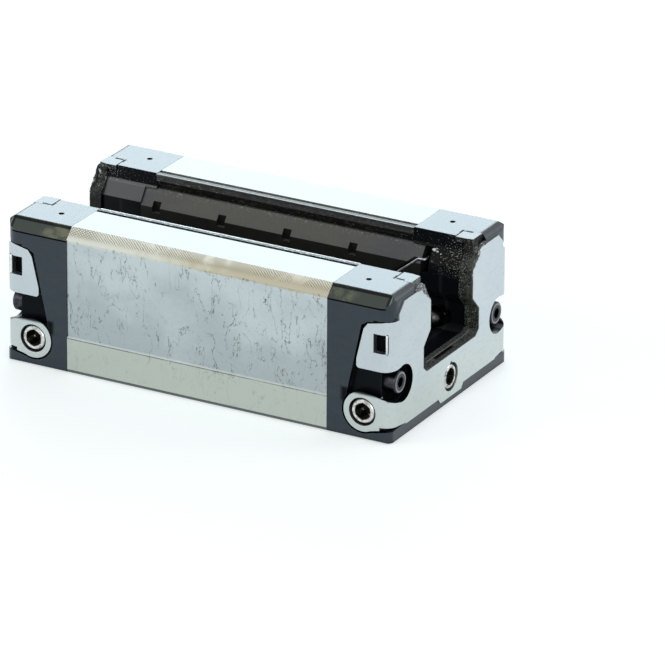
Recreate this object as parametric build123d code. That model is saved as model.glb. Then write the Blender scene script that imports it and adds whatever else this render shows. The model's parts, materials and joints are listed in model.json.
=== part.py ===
from build123d import *

import os
from math import atan2, cos, hypot, pi, sin

# Linear guide carriage, size 25, narrow block with four recirculating ball rows.
# The carriage lies on its mounting face with the rail channel open upwards.
# X is the travel direction, Y runs across the rail, Z points up out of the channel.
# The origin is the middle of the mounting face. All lengths are in millimetres.

# Steel body and its walls
BODY_LENGTH = 57.8
DECK_THICKNESS = 10.25
SIDE_WALL = 2.35
LEG_TOP_WALL = 2.75
INSERT_WALL = 0.75
BORE_WEB = 1.1
TOP_CHAMFER = 2.3
BASE_CHAMFER = 0.5
REFERENCE_HEIGHT = 7.5
REFERENCE_STEP = 0.2

# Mounting holes in the deck, tapped M6
MOUNT_SPACING_X = 35.0
MOUNT_SPACING_Y = 35.0
MOUNT_TAP_RADIUS = 2.5
MOUNT_HOLE_ABOVE = 2.25

# Ball circuits
BALL_DIAMETER = 4.762
BALL_GAP = 0.32
ROW_Y = 11.6
DECK_ROW_RISE = 1.15
RETURN_RISE = 5.6
PASSAGE_CLEARANCE = 0.119
GROOVE_CLEARANCE = 0.04
TUBE_WALL = 0.5
TUBE_CLEARANCE = 0.05

# Raceway insert: out from the loaded rows, and walls outside the ball passages
INSERT_FRONT_OUT = 0.9
INSERT_BACK_WALL = 0.7
INSERT_END_WALL = 0.4
INSERT_CORNER = 1.3
LEG_WALL_OUT = 1.1

# Rail channel: inwards from the rows, up from the ball passages and down from the top
FLOOR_IN = 1.6
HEAD_IN = 0.2
HEAD_HEIGHT = 4.4
WAIST_WALL = 0.4
PLATE_WAIST_ABOVE = 3.4
PLATE_MOUTH_IN = 0.3
PLATE_MOUTH_DROP = 2.7
CAP_WAIST_ABOVE = 3.0
CAP_MOUTH_IN = 0.65
CAP_MOUTH_DROP = 2.8

# Ball retainer, as distances from the rows and from the ball passages
RETAINER_BAR_IN = 1.6
RETAINER_BAR_HEIGHT = 2.0
RETAINER_EDGE_HEIGHT = 0.9
RETAINER_RIB_IN = 0.35
RETAINER_RIB_HEIGHT = 2.2
RETAINER_LIP_BELOW = 0.75
RETAINER_WAIST_ABOVE = 2.45
RETAINER_SLOPE = 1.353
RETAINER_GAP = 0.05
FRAME_LENGTH = 2.5
NOTCH_FIRST_X = -27.9
NOTCH_PITCH = 14.75
NOTCH_COUNT = 4
NOTCH_WIDTH = 1.8
NOTCH_DEPTH = 1.0
NOTCH_BELOW = 1.15
NOTCH_ABOVE = 1.1

# Retaining wire of the lip row
WIRE_RADIUS = 0.26
WIRE_FACE_GAP = 0.14
WIRE_LIP_GAP = 0.09
WIRE_RAMP_START = 6.1
WIRE_RAMP_END = 0.5
WIRE_RAMP_HEIGHT = 4.4
WIRE_HOOK_FORWARD = 0.9
WIRE_HOOK_OUT = 3.1
WIRE_BEND_RADIUS = 0.7
WIRE_HOLE_DEPTH = 0.8
WIRE_CLEARANCE = 0.02
WIRE_GROOVE_GAP = 0.07

# Return guide, as distances from the bores and the insert
GUIDE_GAP = 0.1
GUIDE_WALL = 0.45
GUIDE_STEP_IN = 1.6
GUIDE_STEP_WALL = 0.35
GUIDE_BASE_ABOVE = 0.9
LUG_RADIUS = 3.2
LUG_HALF_WIDTH = 2.3

# End cap
TURN_WALL = 1.818
CAP_BASE_Z = 0.15
CAP_BASE_CHAMFER = 0.2
CAP_FOOT_Z = 2.4
CAP_FOOT_CORNER = 1.4
CAP_RIM_SETBACK = 0.3
CAP_RIM_RADIUS = 1.6
SEAT_GAP = 0.1
HOOK_ROOM_LENGTH = 1.9
HOOK_ROOM_ABOVE = 0.8
HOOK_ROOM_IN = 0.1
GATE_RADIUS = 0.55
GATE_DEPTH = 0.3
GATE_IN = 7.0
GATE_FROM_BODY = 5.2

# End plate, front face: distances in from its side and down from the top
PLATE_THICKNESS = 1.4
BEND_RADIUS = 2.75
PLATE_TOP_DROP = 1.8
PLATE_SHOULDER_IN = 4.8
PLATE_EAR_IN = 1.4
PLATE_EAR_DROP = 5.1
PLATE_BOTTOM_Z = 2.5
PLATE_TAB_HALF = 4.2
PLATE_TAB_SLOPE = 0.9
PLATE_TAB_Z = 1.4
PLATE_STEP_IN = 5.8
PLATE_STEP_Z = 2.7
PLATE_CORNER_Z = 3.15
DIMPLE_RADIUS = 0.5
DIMPLE_ABOVE_PORT = 2.75
DIMPLE_DEPTH = 0.4

# End plate, side flanges: distances back from the front face of the plate
FLANGE_TOP_BACK = (1.6, 5.4, 6.3)
FLANGE_TOP_DROP = (0.0, 0.8, 2.0)
FLANGE_LOW_BACK = 7.8
FLANGE_LOW_HEIGHT = 1.85
FLANGE_CORNER = 0.65
FLANGE_ABOVE_SCREW = 3.15
WINDOW_BACK = (1.6, 4.15)
WINDOW_DROP = (6.5, 2.6)
LOBE_RADIUS = 4.05
LOBE_STRIP_BACK = (0.4, 1.7, 3.7)
LOBE_STRIP_RISE = (2.6, 3.17, 3.7)
SEAT_INNER_BACK = (6.8, 8.4)
SEAT_INNER_DROP = (1.3, 8.9)
SEAT_LOW_BACK = 9.8
SEAT_LOW_RISE = 3.9
SEAT_LOBE_MARGIN = 0.4

# End seal
SEAL_THICKNESS = 1.5
SEAL_LIP = 0.6
SEAL_FRONT_LIP = 0.25
SEAL_FRONT_SETBACK = 0.1
SEAL_PLATE_GAP = 0.02
SEAL_MOUTH_IN = 1.1
SEAL_MOUTH_DROP = 2.9
SEAL_OUT = 2.9
SEAL_BELOW_FLOOR = 1.45
SEAL_CORNER = 2.2
SEAL_HEAD_FRONT = 0.2
TAB_OUT = 2.15
TAB_LENGTH = 2.0
TAB_HEIGHT = 0.9
TAB_GAP = 0.2

# Side seal and its metal strip
SIDE_SEAL_DEPTH = 3.2
SIDE_SEAL_TOP_DROP = 0.25
SIDE_SEAL_GAP = 0.05
SIDE_LIP_DROP = 1.4
SIDE_LIP_HEIGHT = 0.5
SIDE_LIP_BACK = 0.4
STRIP_INNER_IN = 1.0
STRIP_OUTER_OUT = 0.15
STRIP_TOP_DROP = 0.05
STRIP_THICKNESS = 0.45

# Cap screws, M2.5 socket head
SCREW_IN = 4.3
SCREW_ABOVE_FLOOR = 1.25
SCREW_RADIUS = 1.25
SCREW_GRIP = 8.0
SCREW_HEAD_RADIUS = 2.3
SCREW_HEAD_HEIGHT = 2.6
SCREW_HEAD_CHAMFER = 0.25
SCREW_HEAD_BACK = 0.5
SCREW_SOCKET = 2.0
SCREW_SOCKET_DEPTH = 1.3
SCREW_CLEARANCE = 0.1

# Slot round the head of a cap screw, open to the side
SLOT_RADIUS = 3.78
SLOT_IN = 4.5
SLOT_BELOW_SCREW = 0.15
SLOT_KINK_IN = 1.5
SLOT_KINK_BELOW = 3.15
SLOT_SIDE_BELOW = 1.85

# Lubrication ports, tapped M6 and closed by set screws
PORT_RADIUS = 2.75
PORT_DEPTH = 6.0
PORT_PLATE_CLEARANCE = 0.15
PORT_PLUG_RADIUS = 2.65
PORT_PLUG_LENGTH = 5.0
PORT_PLUG_SOCKET = 3.2
PORT_PLUG_SOCKET_DEPTH = 3.0
PORT_PLUG_CHAMFER = 0.4
PORT_PLUG_IN = 0.2
SIDE_PORT_BACK = 6.45
SIDE_PORT_Z = 5.7
FRONT_PORT_Z = 5.45

# Derived sizes of the ball circuits
BALL_RADIUS = BALL_DIAMETER / 2
PASSAGE_RADIUS = BALL_RADIUS + PASSAGE_CLEARANCE
TUBE_RADIUS = PASSAGE_RADIUS + TUBE_WALL
BORE_RADIUS = TUBE_RADIUS + TUBE_CLEARANCE
GROOVE_RADIUS = BALL_RADIUS + GROOVE_CLEARANCE
INSERT_FRONT_Y = ROW_Y + INSERT_FRONT_OUT
INSERT_BACK_Y = ROW_Y + PASSAGE_RADIUS + INSERT_BACK_WALL
LEG_WALL_Y = ROW_Y + LEG_WALL_OUT
RETURN_Y = INSERT_BACK_Y + INSERT_WALL + BORE_RADIUS
RETURN_SHIFT = RETURN_Y - ROW_Y
DECK_ROW_Z = DECK_THICKNESS + DECK_ROW_RISE
LIP_ROW_Z = DECK_ROW_Z + 2 * BORE_RADIUS + BORE_WEB
ROW_HEIGHTS = {"deck": DECK_ROW_Z, "lip": LIP_ROW_Z}
TURN_RADIUS = hypot(RETURN_SHIFT, RETURN_RISE) / 2
TURN_TILT = atan2(RETURN_RISE, RETURN_SHIFT)
INSERT_LOW_Z = DECK_ROW_Z - PASSAGE_RADIUS - INSERT_END_WALL
INSERT_HIGH_Z = LIP_ROW_Z + PASSAGE_RADIUS + INSERT_END_WALL

# Overall size, from the circuits and the walls round them
HALF_WIDTH = RETURN_Y + BORE_RADIUS + SIDE_WALL
BODY_HEIGHT = LIP_ROW_Z + RETURN_RISE + BORE_RADIUS + LEG_TOP_WALL
HALF_STEEL = BODY_LENGTH / 2
TURN_X = HALF_STEEL + FRAME_LENGTH
SEAL_BACK_X = TURN_X + TURN_RADIUS + PASSAGE_RADIUS + TURN_WALL
CAP_FACE_X = SEAL_BACK_X + SEAL_THICKNESS
PLATE_X = CAP_FACE_X + PLATE_THICKNESS
CAP_RIM_X = PLATE_X - CAP_RIM_SETBACK
CAP_SIDE_Y = HALF_WIDTH - PLATE_THICKNESS
CUT_PAST = 1.0

# Derived places
MOUNT_HOLE_DEPTH = DECK_THICKNESS - MOUNT_HOLE_ABOVE
FLOOR_HALF = ROW_Y - FLOOR_IN
HEAD_HALF = ROW_Y - HEAD_IN
WAIST_HALF = ROW_Y - PASSAGE_RADIUS - WAIST_WALL
PLATE_MOUTH_HALF = ROW_Y - PLATE_MOUTH_IN
CAP_MOUTH_HALF = ROW_Y - CAP_MOUTH_IN
SEAL_MOUTH_HALF = ROW_Y - SEAL_MOUTH_IN
LIP_PASSAGE_TOP_Z = LIP_ROW_Z + PASSAGE_RADIUS
PLATE_WAIST_Z = LIP_PASSAGE_TOP_Z + PLATE_WAIST_ABOVE
CAP_WAIST_Z = LIP_PASSAGE_TOP_Z + CAP_WAIST_ABOVE
PLATE_MOUTH_Z = BODY_HEIGHT - PLATE_MOUTH_DROP
CAP_MOUTH_Z = BODY_HEIGHT - CAP_MOUTH_DROP
SEAL_MOUTH_Z = BODY_HEIGHT - SEAL_MOUTH_DROP
RETAINER_INNER_Y = ROW_Y - PASSAGE_RADIUS - RETAINER_BAR_IN
RETAINER_BACK_Y = INSERT_FRONT_Y - RETAINER_GAP
RETAINER_WALL_Y = LEG_WALL_Y - RETAINER_GAP
RETAINER_FOOT_Z = INSERT_LOW_Z + RETAINER_BAR_HEIGHT
RETAINER_LIP_Z = LIP_PASSAGE_TOP_Z - RETAINER_LIP_BELOW
RETAINER_WAIST_Z = LIP_PASSAGE_TOP_Z + RETAINER_WAIST_ABOVE
RETAINER_TOP_Z = BODY_HEIGHT - SIDE_SEAL_DEPTH - SIDE_SEAL_GAP
RETAINER_TOP_Y = WAIST_HALF + (RETAINER_TOP_Z - RETAINER_WAIST_Z) / RETAINER_SLOPE
WIRE_Y = WAIST_HALF + WIRE_FACE_GAP + WIRE_RADIUS
WIRE_Z = RETAINER_LIP_Z - WIRE_LIP_GAP - WIRE_RADIUS
WIRE_END_Z = WIRE_Z + WIRE_RAMP_HEIGHT
WIRE_REAR_X = -HALF_STEEL - WIRE_HOLE_DEPTH
WIRE_HOLE_RADIUS = WIRE_RADIUS + WIRE_CLEARANCE
HOOK_ROOM_Y = ROW_Y - HOOK_ROOM_IN
GUIDE_STEP_Y = RETURN_Y - GUIDE_STEP_IN
GUIDE_OUTER_Y = RETURN_Y + BORE_RADIUS + GUIDE_WALL
GUIDE_STEP_Z = DECK_ROW_Z + RETURN_RISE - BORE_RADIUS - GUIDE_STEP_WALL
GUIDE_TOP_Z = LIP_ROW_Z + RETURN_RISE + BORE_RADIUS + GUIDE_WALL
SCREW_Y = HALF_WIDTH - SCREW_IN
SCREW_Z = DECK_THICKNESS + SCREW_ABOVE_FLOOR
SCREW_FACE_X = PLATE_X - SCREW_HEAD_BACK
SCREW_SEAT_X = SCREW_FACE_X - SCREW_HEAD_HEIGHT
SLOT_Z = SCREW_Z - SLOT_BELOW_SCREW
SIDE_PORT_X = PLATE_X - SIDE_PORT_BACK
PLATE_EAR_Z = BODY_HEIGHT - PLATE_EAR_DROP
FLANGE_BOTTOM_Z = SCREW_Z + FLANGE_ABOVE_SCREW
SEAL_OUTER_Y = ROW_Y + SEAL_OUT
SEAL_OUTER_Z = DECK_THICKNESS - SEAL_BELOW_FLOOR
TAB_OUTER_Y = ROW_Y + TAB_OUT
STRIP_INNER_Y = ROW_Y - STRIP_INNER_IN
STRIP_OUTER_Y = ROW_Y + STRIP_OUTER_OUT


# Solids from outlines
def along_x(outline, start, end):
    """Extrude a sketch whose coordinates are (Y, Z) from X = start to X = end."""
    return extrude(Plane.YZ.offset(start) * outline, amount=end - start)


def along_y(outline, start, end):
    """Extrude a sketch whose coordinates are (X, Z) from Y = start to Y = end."""
    plane = Plane(origin=(0, start, 0), x_dir=(1, 0, 0), z_dir=(0, -1, 0))
    return extrude(plane * outline, amount=end - start, dir=(0, 1, 0))


def along_z(outline, start, end):
    """Extrude a sketch whose coordinates are (X, Y) from Z = start to Z = end."""
    return extrude(Plane.XY.offset(start) * outline, amount=end - start)


def polygon(points):
    return Polygon(*points, align=None)


def symmetric_polygon(half_points):
    """Close a half outline, given for positive Y, with its mirror image."""
    mirrored = [(-y, z) for y, z in reversed(half_points) if y > 0]
    return polygon(half_points + mirrored)


def box_between(low, high):
    size = [b - a for a, b in zip(low, high)]
    middle = [(a + b) / 2 for a, b in zip(low, high)]
    return Pos(*middle) * Box(*size)


def rod_along_x(radius, y, z, start, end):
    return along_x(Pos(y, z) * Circle(radius), start, end)


def rod_along_y(radius, x, z, start, end):
    return along_y(Pos(x, z) * Circle(radius), start, end)


def both_sides(solid):
    return solid + mirror(solid, about=Plane.XZ)


def half_turn(solid):
    """The same piece at the opposite end and side of the carriage."""
    return Rot(0, 0, 180) * solid


def rounded_front_plan(front_x, half_width, radius, back_x):
    """Plan outline of an end unit with its two front corners rounded."""
    corners = [(back_x, -half_width), (front_x, -half_width), (front_x, half_width), (back_x, half_width)]
    sketch = polygon(corners)
    return fillet(sketch.vertices().group_by(Axis.X)[-1], radius)


# Rail channel
def channel_outline(waist_z, mouth_half, mouth_z, grow=0.0):
    """Outline of the rail channel, open at the top and widened by grow on each side."""
    top_z = BODY_HEIGHT + CUT_PAST
    return symmetric_polygon([
        (0, DECK_THICKNESS - grow),
        (FLOOR_HALF + grow, DECK_THICKNESS - grow),
        (HEAD_HALF + grow, DECK_ROW_Z),
        (HEAD_HALF + grow, DECK_ROW_Z + HEAD_HEIGHT),
        (WAIST_HALF + grow, LIP_ROW_Z),
        (WAIST_HALF + grow, waist_z),
        (mouth_half, mouth_z),
        (mouth_half, top_z),
        (0, top_z),
    ])


def plate_channel(grow=0.0):
    return channel_outline(PLATE_WAIST_Z, PLATE_MOUTH_HALF + grow, PLATE_MOUTH_Z, grow)


# Ball circuits
def row_rods(radius, start, end):
    """Straight rods along both loaded rows of the left leg."""
    return [rod_along_x(radius, ROW_Y, z, start, end) for z in ROW_HEIGHTS.values()]


def return_rods(radius, start, end):
    """Straight rods along both return bores of the left leg."""
    return [rod_along_x(radius, RETURN_Y, z + RETURN_RISE, start, end) for z in ROW_HEIGHTS.values()]


def turn_axis(row_z):
    centre = (TURN_X, ROW_Y + RETURN_SHIFT / 2, row_z + RETURN_RISE / 2)
    return Axis(centre, (0, -sin(TURN_TILT), cos(TURN_TILT)))


def turn_passages(radius):
    """Half rings that lead both rows of the left leg round to their return bores."""
    rings = []
    for row_z in ROW_HEIGHTS.values():
        section = Plane.YZ.offset(TURN_X) * (Pos(ROW_Y, row_z) * Circle(radius))
        rings.append(revolve(section, axis=turn_axis(row_z), revolution_arc=180))
    return rings


def turn_lugs(radius, half_width):
    """Half-moon blocks on the turn centres of the left leg."""
    lugs = []
    for row_z in ROW_HEIGHTS.values():
        axis = turn_axis(row_z)
        plane = Plane(origin=axis.position, x_dir=(1, 0, 0), z_dir=axis.direction)
        disc = extrude(plane * Circle(radius), amount=half_width, both=True)
        keep = box_between((TURN_X, 0, 0), (TURN_X + 2 * radius, HALF_WIDTH, BODY_HEIGHT))
        lugs.append(disc & keep)
    return lugs


def circuit_point(distance, row_z):
    """Ball centre after a distance along the closed circuit of one row."""
    straight = 2 * TURN_X
    turn = pi * TURN_RADIUS
    centre_y = ROW_Y + RETURN_SHIFT / 2
    centre_z = row_z + RETURN_RISE / 2
    if distance < straight:
        return (distance - TURN_X, ROW_Y, row_z)
    if distance < straight + turn:
        angle = (distance - straight) / TURN_RADIUS
        reach = TURN_RADIUS * cos(angle)
        x = TURN_X + TURN_RADIUS * sin(angle)
    elif distance < 2 * straight + turn:
        return (TURN_X - (distance - straight - turn), RETURN_Y, row_z + RETURN_RISE)
    else:
        angle = (distance - 2 * straight - turn) / TURN_RADIUS
        reach = -TURN_RADIUS * cos(angle)
        x = -TURN_X - TURN_RADIUS * sin(angle)
    return (x, centre_y - reach * cos(TURN_TILT), centre_z - reach * sin(TURN_TILT))


def ball_circuit(row_z):
    """All balls of one circuit of the left leg, evenly spread."""
    length = 4 * TURN_X + 2 * pi * TURN_RADIUS
    count = int(length // (BALL_DIAMETER + BALL_GAP))
    pitch = length / count
    balls = [Pos(*circuit_point((i + 0.5) * pitch, row_z)) * Sphere(BALL_RADIUS) for i in range(count)]
    return Compound(children=balls)


def return_tube(row_z):
    z = row_z + RETURN_RISE
    outer = rod_along_x(TUBE_RADIUS, RETURN_Y, z, -TURN_X, TURN_X)
    return outer - rod_along_x(PASSAGE_RADIUS, RETURN_Y, z, -TURN_X, TURN_X)


# Steel body
def steel_body():
    recessed_side = HALF_WIDTH - REFERENCE_STEP
    half = [
        (0, 0),
        (HALF_WIDTH - BASE_CHAMFER, 0),
        (HALF_WIDTH, BASE_CHAMFER),
        (HALF_WIDTH, REFERENCE_HEIGHT),
        (recessed_side, REFERENCE_HEIGHT + REFERENCE_STEP),
        (recessed_side, BODY_HEIGHT - TOP_CHAMFER + REFERENCE_STEP),
        (HALF_WIDTH - TOP_CHAMFER, BODY_HEIGHT),
        (LEG_WALL_Y, BODY_HEIGHT),
        (LEG_WALL_Y, INSERT_HIGH_Z),
        (INSERT_BACK_Y - INSERT_CORNER, INSERT_HIGH_Z),
        (INSERT_BACK_Y, INSERT_HIGH_Z - INSERT_CORNER),
        (INSERT_BACK_Y, INSERT_LOW_Z + INSERT_CORNER),
        (INSERT_BACK_Y - INSERT_CORNER, INSERT_LOW_Z),
        (RETAINER_INNER_Y, INSERT_LOW_Z),
        (RETAINER_INNER_Y, DECK_THICKNESS),
        (0, DECK_THICKNESS),
    ]
    body = along_x(symmetric_polygon(half), -HALF_STEEL, HALF_STEEL)
    for bore in return_rods(BORE_RADIUS, -HALF_STEEL, HALF_STEEL):
        body -= both_sides(bore)
    for side_x in (-1, 1):
        for side_y in (-1, 1):
            place = Pos(side_x * MOUNT_SPACING_X / 2, side_y * MOUNT_SPACING_Y / 2, MOUNT_HOLE_DEPTH / 2)
            body -= place * Cylinder(MOUNT_TAP_RADIUS, MOUNT_HOLE_DEPTH)
            near = side_x * (HALF_STEEL - SCREW_GRIP)
            far = side_x * HALF_STEEL
            body -= rod_along_x(SCREW_RADIUS, side_y * SCREW_Y, SCREW_Z, min(near, far), max(near, far))
    return body


def raceway_insert():
    """Hardened bar of the left leg with a groove for each loaded row."""
    outline = polygon([
        (INSERT_FRONT_Y, INSERT_LOW_Z),
        (INSERT_BACK_Y - INSERT_CORNER, INSERT_LOW_Z),
        (INSERT_BACK_Y, INSERT_LOW_Z + INSERT_CORNER),
        (INSERT_BACK_Y, INSERT_HIGH_Z - INSERT_CORNER),
        (INSERT_BACK_Y - INSERT_CORNER, INSERT_HIGH_Z),
        (INSERT_FRONT_Y, INSERT_HIGH_Z),
    ])
    bar = along_x(outline, -HALF_STEEL, HALF_STEEL)
    for groove in row_rods(GROOVE_RADIUS, -HALF_STEEL, HALF_STEEL):
        bar -= groove
    return bar


# Ball retainer
def retainer_bars():
    """Sections of the long bars of the left leg: floor bar, rib between the rows and lip."""
    floor_bar = polygon([
        (RETAINER_INNER_Y, INSERT_LOW_Z),
        (RETAINER_BACK_Y, INSERT_LOW_Z),
        (RETAINER_BACK_Y, INSERT_LOW_Z + RETAINER_EDGE_HEIGHT),
        (FLOOR_HALF, RETAINER_FOOT_Z),
        (RETAINER_INNER_Y, RETAINER_FOOT_Z),
    ])
    rib_front_y = ROW_Y - RETAINER_RIB_IN
    rib_middle_z = (DECK_ROW_Z + LIP_ROW_Z) / 2
    rib = polygon([
        (rib_front_y, rib_middle_z - RETAINER_RIB_HEIGHT / 2),
        (RETAINER_BACK_Y, rib_middle_z - RETAINER_RIB_HEIGHT / 2),
        (RETAINER_BACK_Y, rib_middle_z + RETAINER_RIB_HEIGHT / 2),
        (rib_front_y, rib_middle_z + RETAINER_RIB_HEIGHT / 2),
    ])
    lip = polygon([
        (WAIST_HALF, RETAINER_LIP_Z),
        (RETAINER_BACK_Y, RETAINER_LIP_Z),
        (RETAINER_BACK_Y, INSERT_HIGH_Z + RETAINER_GAP),
        (RETAINER_WALL_Y, INSERT_HIGH_Z + RETAINER_GAP),
        (RETAINER_WALL_Y, RETAINER_TOP_Z),
        (RETAINER_TOP_Y, RETAINER_TOP_Z),
        (WAIST_HALF, RETAINER_WAIST_Z),
    ])
    return [floor_bar, rib, lip]


def retainer_frame_outline():
    """Section of the block at each end of the left retainer."""
    return polygon([
        (RETAINER_INNER_Y, INSERT_LOW_Z),
        (INSERT_BACK_Y, INSERT_LOW_Z),
        (INSERT_BACK_Y, RETAINER_TOP_Z),
        (RETAINER_TOP_Y, RETAINER_TOP_Z),
        (WAIST_HALF, RETAINER_WAIST_Z),
        (WAIST_HALF, LIP_ROW_Z),
        (HEAD_HALF, DECK_ROW_Z + HEAD_HEIGHT),
        (HEAD_HALF, DECK_ROW_Z),
        (FLOOR_HALF, RETAINER_FOOT_Z),
        (RETAINER_INNER_Y, RETAINER_FOOT_Z),
    ])


def wire_groove():
    """Groove in the retainer's lip for the rising end of the wire."""
    ramp_start = TURN_X - WIRE_RAMP_START
    ramp_end = TURN_X - WIRE_RAMP_END
    half_groove = WIRE_RADIUS + WIRE_GROOVE_GAP
    slant = hypot(WIRE_RAMP_START - WIRE_RAMP_END, WIRE_RAMP_HEIGHT)
    rise = half_groove * slant / (WIRE_RAMP_START - WIRE_RAMP_END)
    outline = polygon([
        (ramp_start - WIRE_BEND_RADIUS, WIRE_Z - half_groove),
        (ramp_start, WIRE_Z - rise),
        (ramp_end, WIRE_END_Z - rise),
        (TURN_X + CUT_PAST, WIRE_END_Z - rise),
        (TURN_X + CUT_PAST, WIRE_END_Z + rise),
        (ramp_end - WIRE_BEND_RADIUS, WIRE_END_Z + rise),
        (ramp_start - WIRE_BEND_RADIUS, WIRE_Z + rise),
    ])
    return along_y(outline, WAIST_HALF - CUT_PAST, WIRE_Y + half_groove)


def ball_retainer():
    """Moulded frame of the left leg: three long bars joined by a block at each end."""
    floor_bar, rib, lip = [along_x(section, -TURN_X, TURN_X) for section in retainer_bars()]
    retainer = floor_bar + rib + lip
    frame = along_x(retainer_frame_outline(), HALF_STEEL, TURN_X)
    retainer += frame
    retainer += mirror(frame, about=Plane.YZ)
    for passage in row_rods(PASSAGE_RADIUS, -TURN_X, TURN_X):
        retainer -= passage
    for i in range(NOTCH_COUNT):
        x = NOTCH_FIRST_X + i * NOTCH_PITCH
        retainer -= box_between(
            (x - NOTCH_WIDTH / 2, WAIST_HALF - CUT_PAST, RETAINER_WAIST_Z - NOTCH_BELOW),
            (x + NOTCH_WIDTH / 2, WAIST_HALF + NOTCH_DEPTH, RETAINER_WAIST_Z + NOTCH_ABOVE),
        )
    retainer -= wire_groove()
    return retainer - rod_along_x(WIRE_HOLE_RADIUS, WIRE_Y, WIRE_Z, WIRE_REAR_X, -HALF_STEEL)


def retaining_wire():
    """Bent wire that keeps the balls of the left lip row in place, hooked at the front."""
    hook_x = TURN_X + WIRE_HOOK_FORWARD
    points = [
        (WIRE_REAR_X, WIRE_Y, WIRE_Z),
        (TURN_X - WIRE_RAMP_START, WIRE_Y, WIRE_Z),
        (TURN_X - WIRE_RAMP_END, WIRE_Y, WIRE_END_Z),
        (hook_x, WIRE_Y, WIRE_END_Z),
        (hook_x, WIRE_Y + WIRE_HOOK_OUT, WIRE_END_Z),
    ]
    path = FilletPolyline(*points, radius=WIRE_BEND_RADIUS)
    section = Plane(origin=points[0], x_dir=(0, 1, 0), z_dir=(1, 0, 0)) * Circle(WIRE_RADIUS)
    return sweep(section, path=path)


# Return guide
def guide_outline():
    inner_y = INSERT_BACK_Y + GUIDE_GAP
    base_z = INSERT_LOW_Z + GUIDE_BASE_ABOVE
    return polygon([
        (inner_y, base_z),
        (GUIDE_STEP_Y, base_z),
        (GUIDE_STEP_Y, GUIDE_STEP_Z),
        (GUIDE_OUTER_Y, GUIDE_STEP_Z),
        (GUIDE_OUTER_Y, GUIDE_TOP_Z),
        (inner_y, GUIDE_TOP_Z),
    ])


def return_guide():
    """Moulded guide of the left front corner that carries the inner side of both turns."""
    guide = along_x(guide_outline(), HALF_STEEL, TURN_X)
    for lug in turn_lugs(LUG_RADIUS, LUG_HALF_WIDTH):
        guide += lug
    for hole in return_rods(BORE_RADIUS, HALF_STEEL, TURN_X):
        guide -= hole
    for passage in turn_passages(PASSAGE_RADIUS):
        guide -= passage
    return guide


# End plate
def plate_front_outline(gap=0.0):
    """Outer outline of the plate's front face, down the bend to the side flanges."""
    low = PLATE_BOTTOM_Z - gap
    edge = HALF_WIDTH + CUT_PAST
    ear_z = PLATE_EAR_Z + gap
    top_z = BODY_HEIGHT - PLATE_TOP_DROP + gap / 2
    return symmetric_polygon([
        (0, PLATE_TAB_Z),
        (PLATE_TAB_HALF, PLATE_TAB_Z),
        (PLATE_TAB_HALF + PLATE_TAB_SLOPE, low),
        (HALF_WIDTH - PLATE_STEP_IN, low),
        (HALF_WIDTH - PLATE_STEP_IN, PLATE_STEP_Z - gap),
        (HALF_WIDTH - BEND_RADIUS, PLATE_CORNER_Z - gap),
        (edge, PLATE_CORNER_Z - gap),
        (edge, ear_z),
        (HALF_WIDTH - PLATE_EAR_IN + gap, ear_z),
        (HALF_WIDTH - PLATE_SHOULDER_IN + gap / 2, top_z),
        (0, top_z),
    ])


def flange_outline():
    """Side flange above and below the screw slot, as (X, Z), for the front plate."""
    far = PLATE_X + CUT_PAST
    low_x = PLATE_X - FLANGE_LOW_BACK
    ear_points = [(far, PLATE_EAR_Z)]
    ear_points += [(PLATE_X - d, PLATE_EAR_Z - h) for d, h in zip(FLANGE_TOP_BACK, FLANGE_TOP_DROP)]
    ear_points += [
        (low_x, FLANGE_BOTTOM_Z + FLANGE_LOW_HEIGHT),
        (low_x, FLANGE_BOTTOM_Z),
        (far, FLANGE_BOTTOM_Z),
    ]
    ear = polygon(ear_points)
    ear = fillet(ear.vertices().group_by(Axis.X)[0], FLANGE_CORNER)
    lobe = Pos(SIDE_PORT_X, SIDE_PORT_Z) * Circle(LOBE_RADIUS)
    upper = [(PLATE_X - d, SIDE_PORT_Z + h) for d, h in zip(LOBE_STRIP_BACK, LOBE_STRIP_RISE)]
    strip = polygon([
        (SIDE_PORT_X, SIDE_PORT_Z - LOBE_RADIUS),
        (PLATE_X, PLATE_CORNER_Z),
        (far, PLATE_CORNER_Z),
        (far, upper[0][1]),
        *upper,
        (SIDE_PORT_X, SIDE_PORT_Z + LOBE_RADIUS),
    ])
    return ear + lobe + strip


def screw_slot(start, end):
    """Space round a cap screw's head, open to the side of the carriage."""
    centre_y = HALF_WIDTH - SLOT_IN
    side_z = SLOT_Z - SLOT_SIDE_BELOW
    far = HALF_WIDTH + CUT_PAST
    outline = Pos(centre_y, SLOT_Z) * Circle(SLOT_RADIUS)
    outline += polygon([
        (centre_y, SLOT_Z - SLOT_RADIUS),
        (HALF_WIDTH - SLOT_KINK_IN, SLOT_Z - SLOT_KINK_BELOW),
        (HALF_WIDTH, side_z),
        (far, side_z),
        (far, FLANGE_BOTTOM_Z),
        (HALF_WIDTH, FLANGE_BOTTOM_Z),
        (centre_y, SLOT_Z + SLOT_RADIUS),
    ])
    return along_x(outline, start, end)


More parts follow.
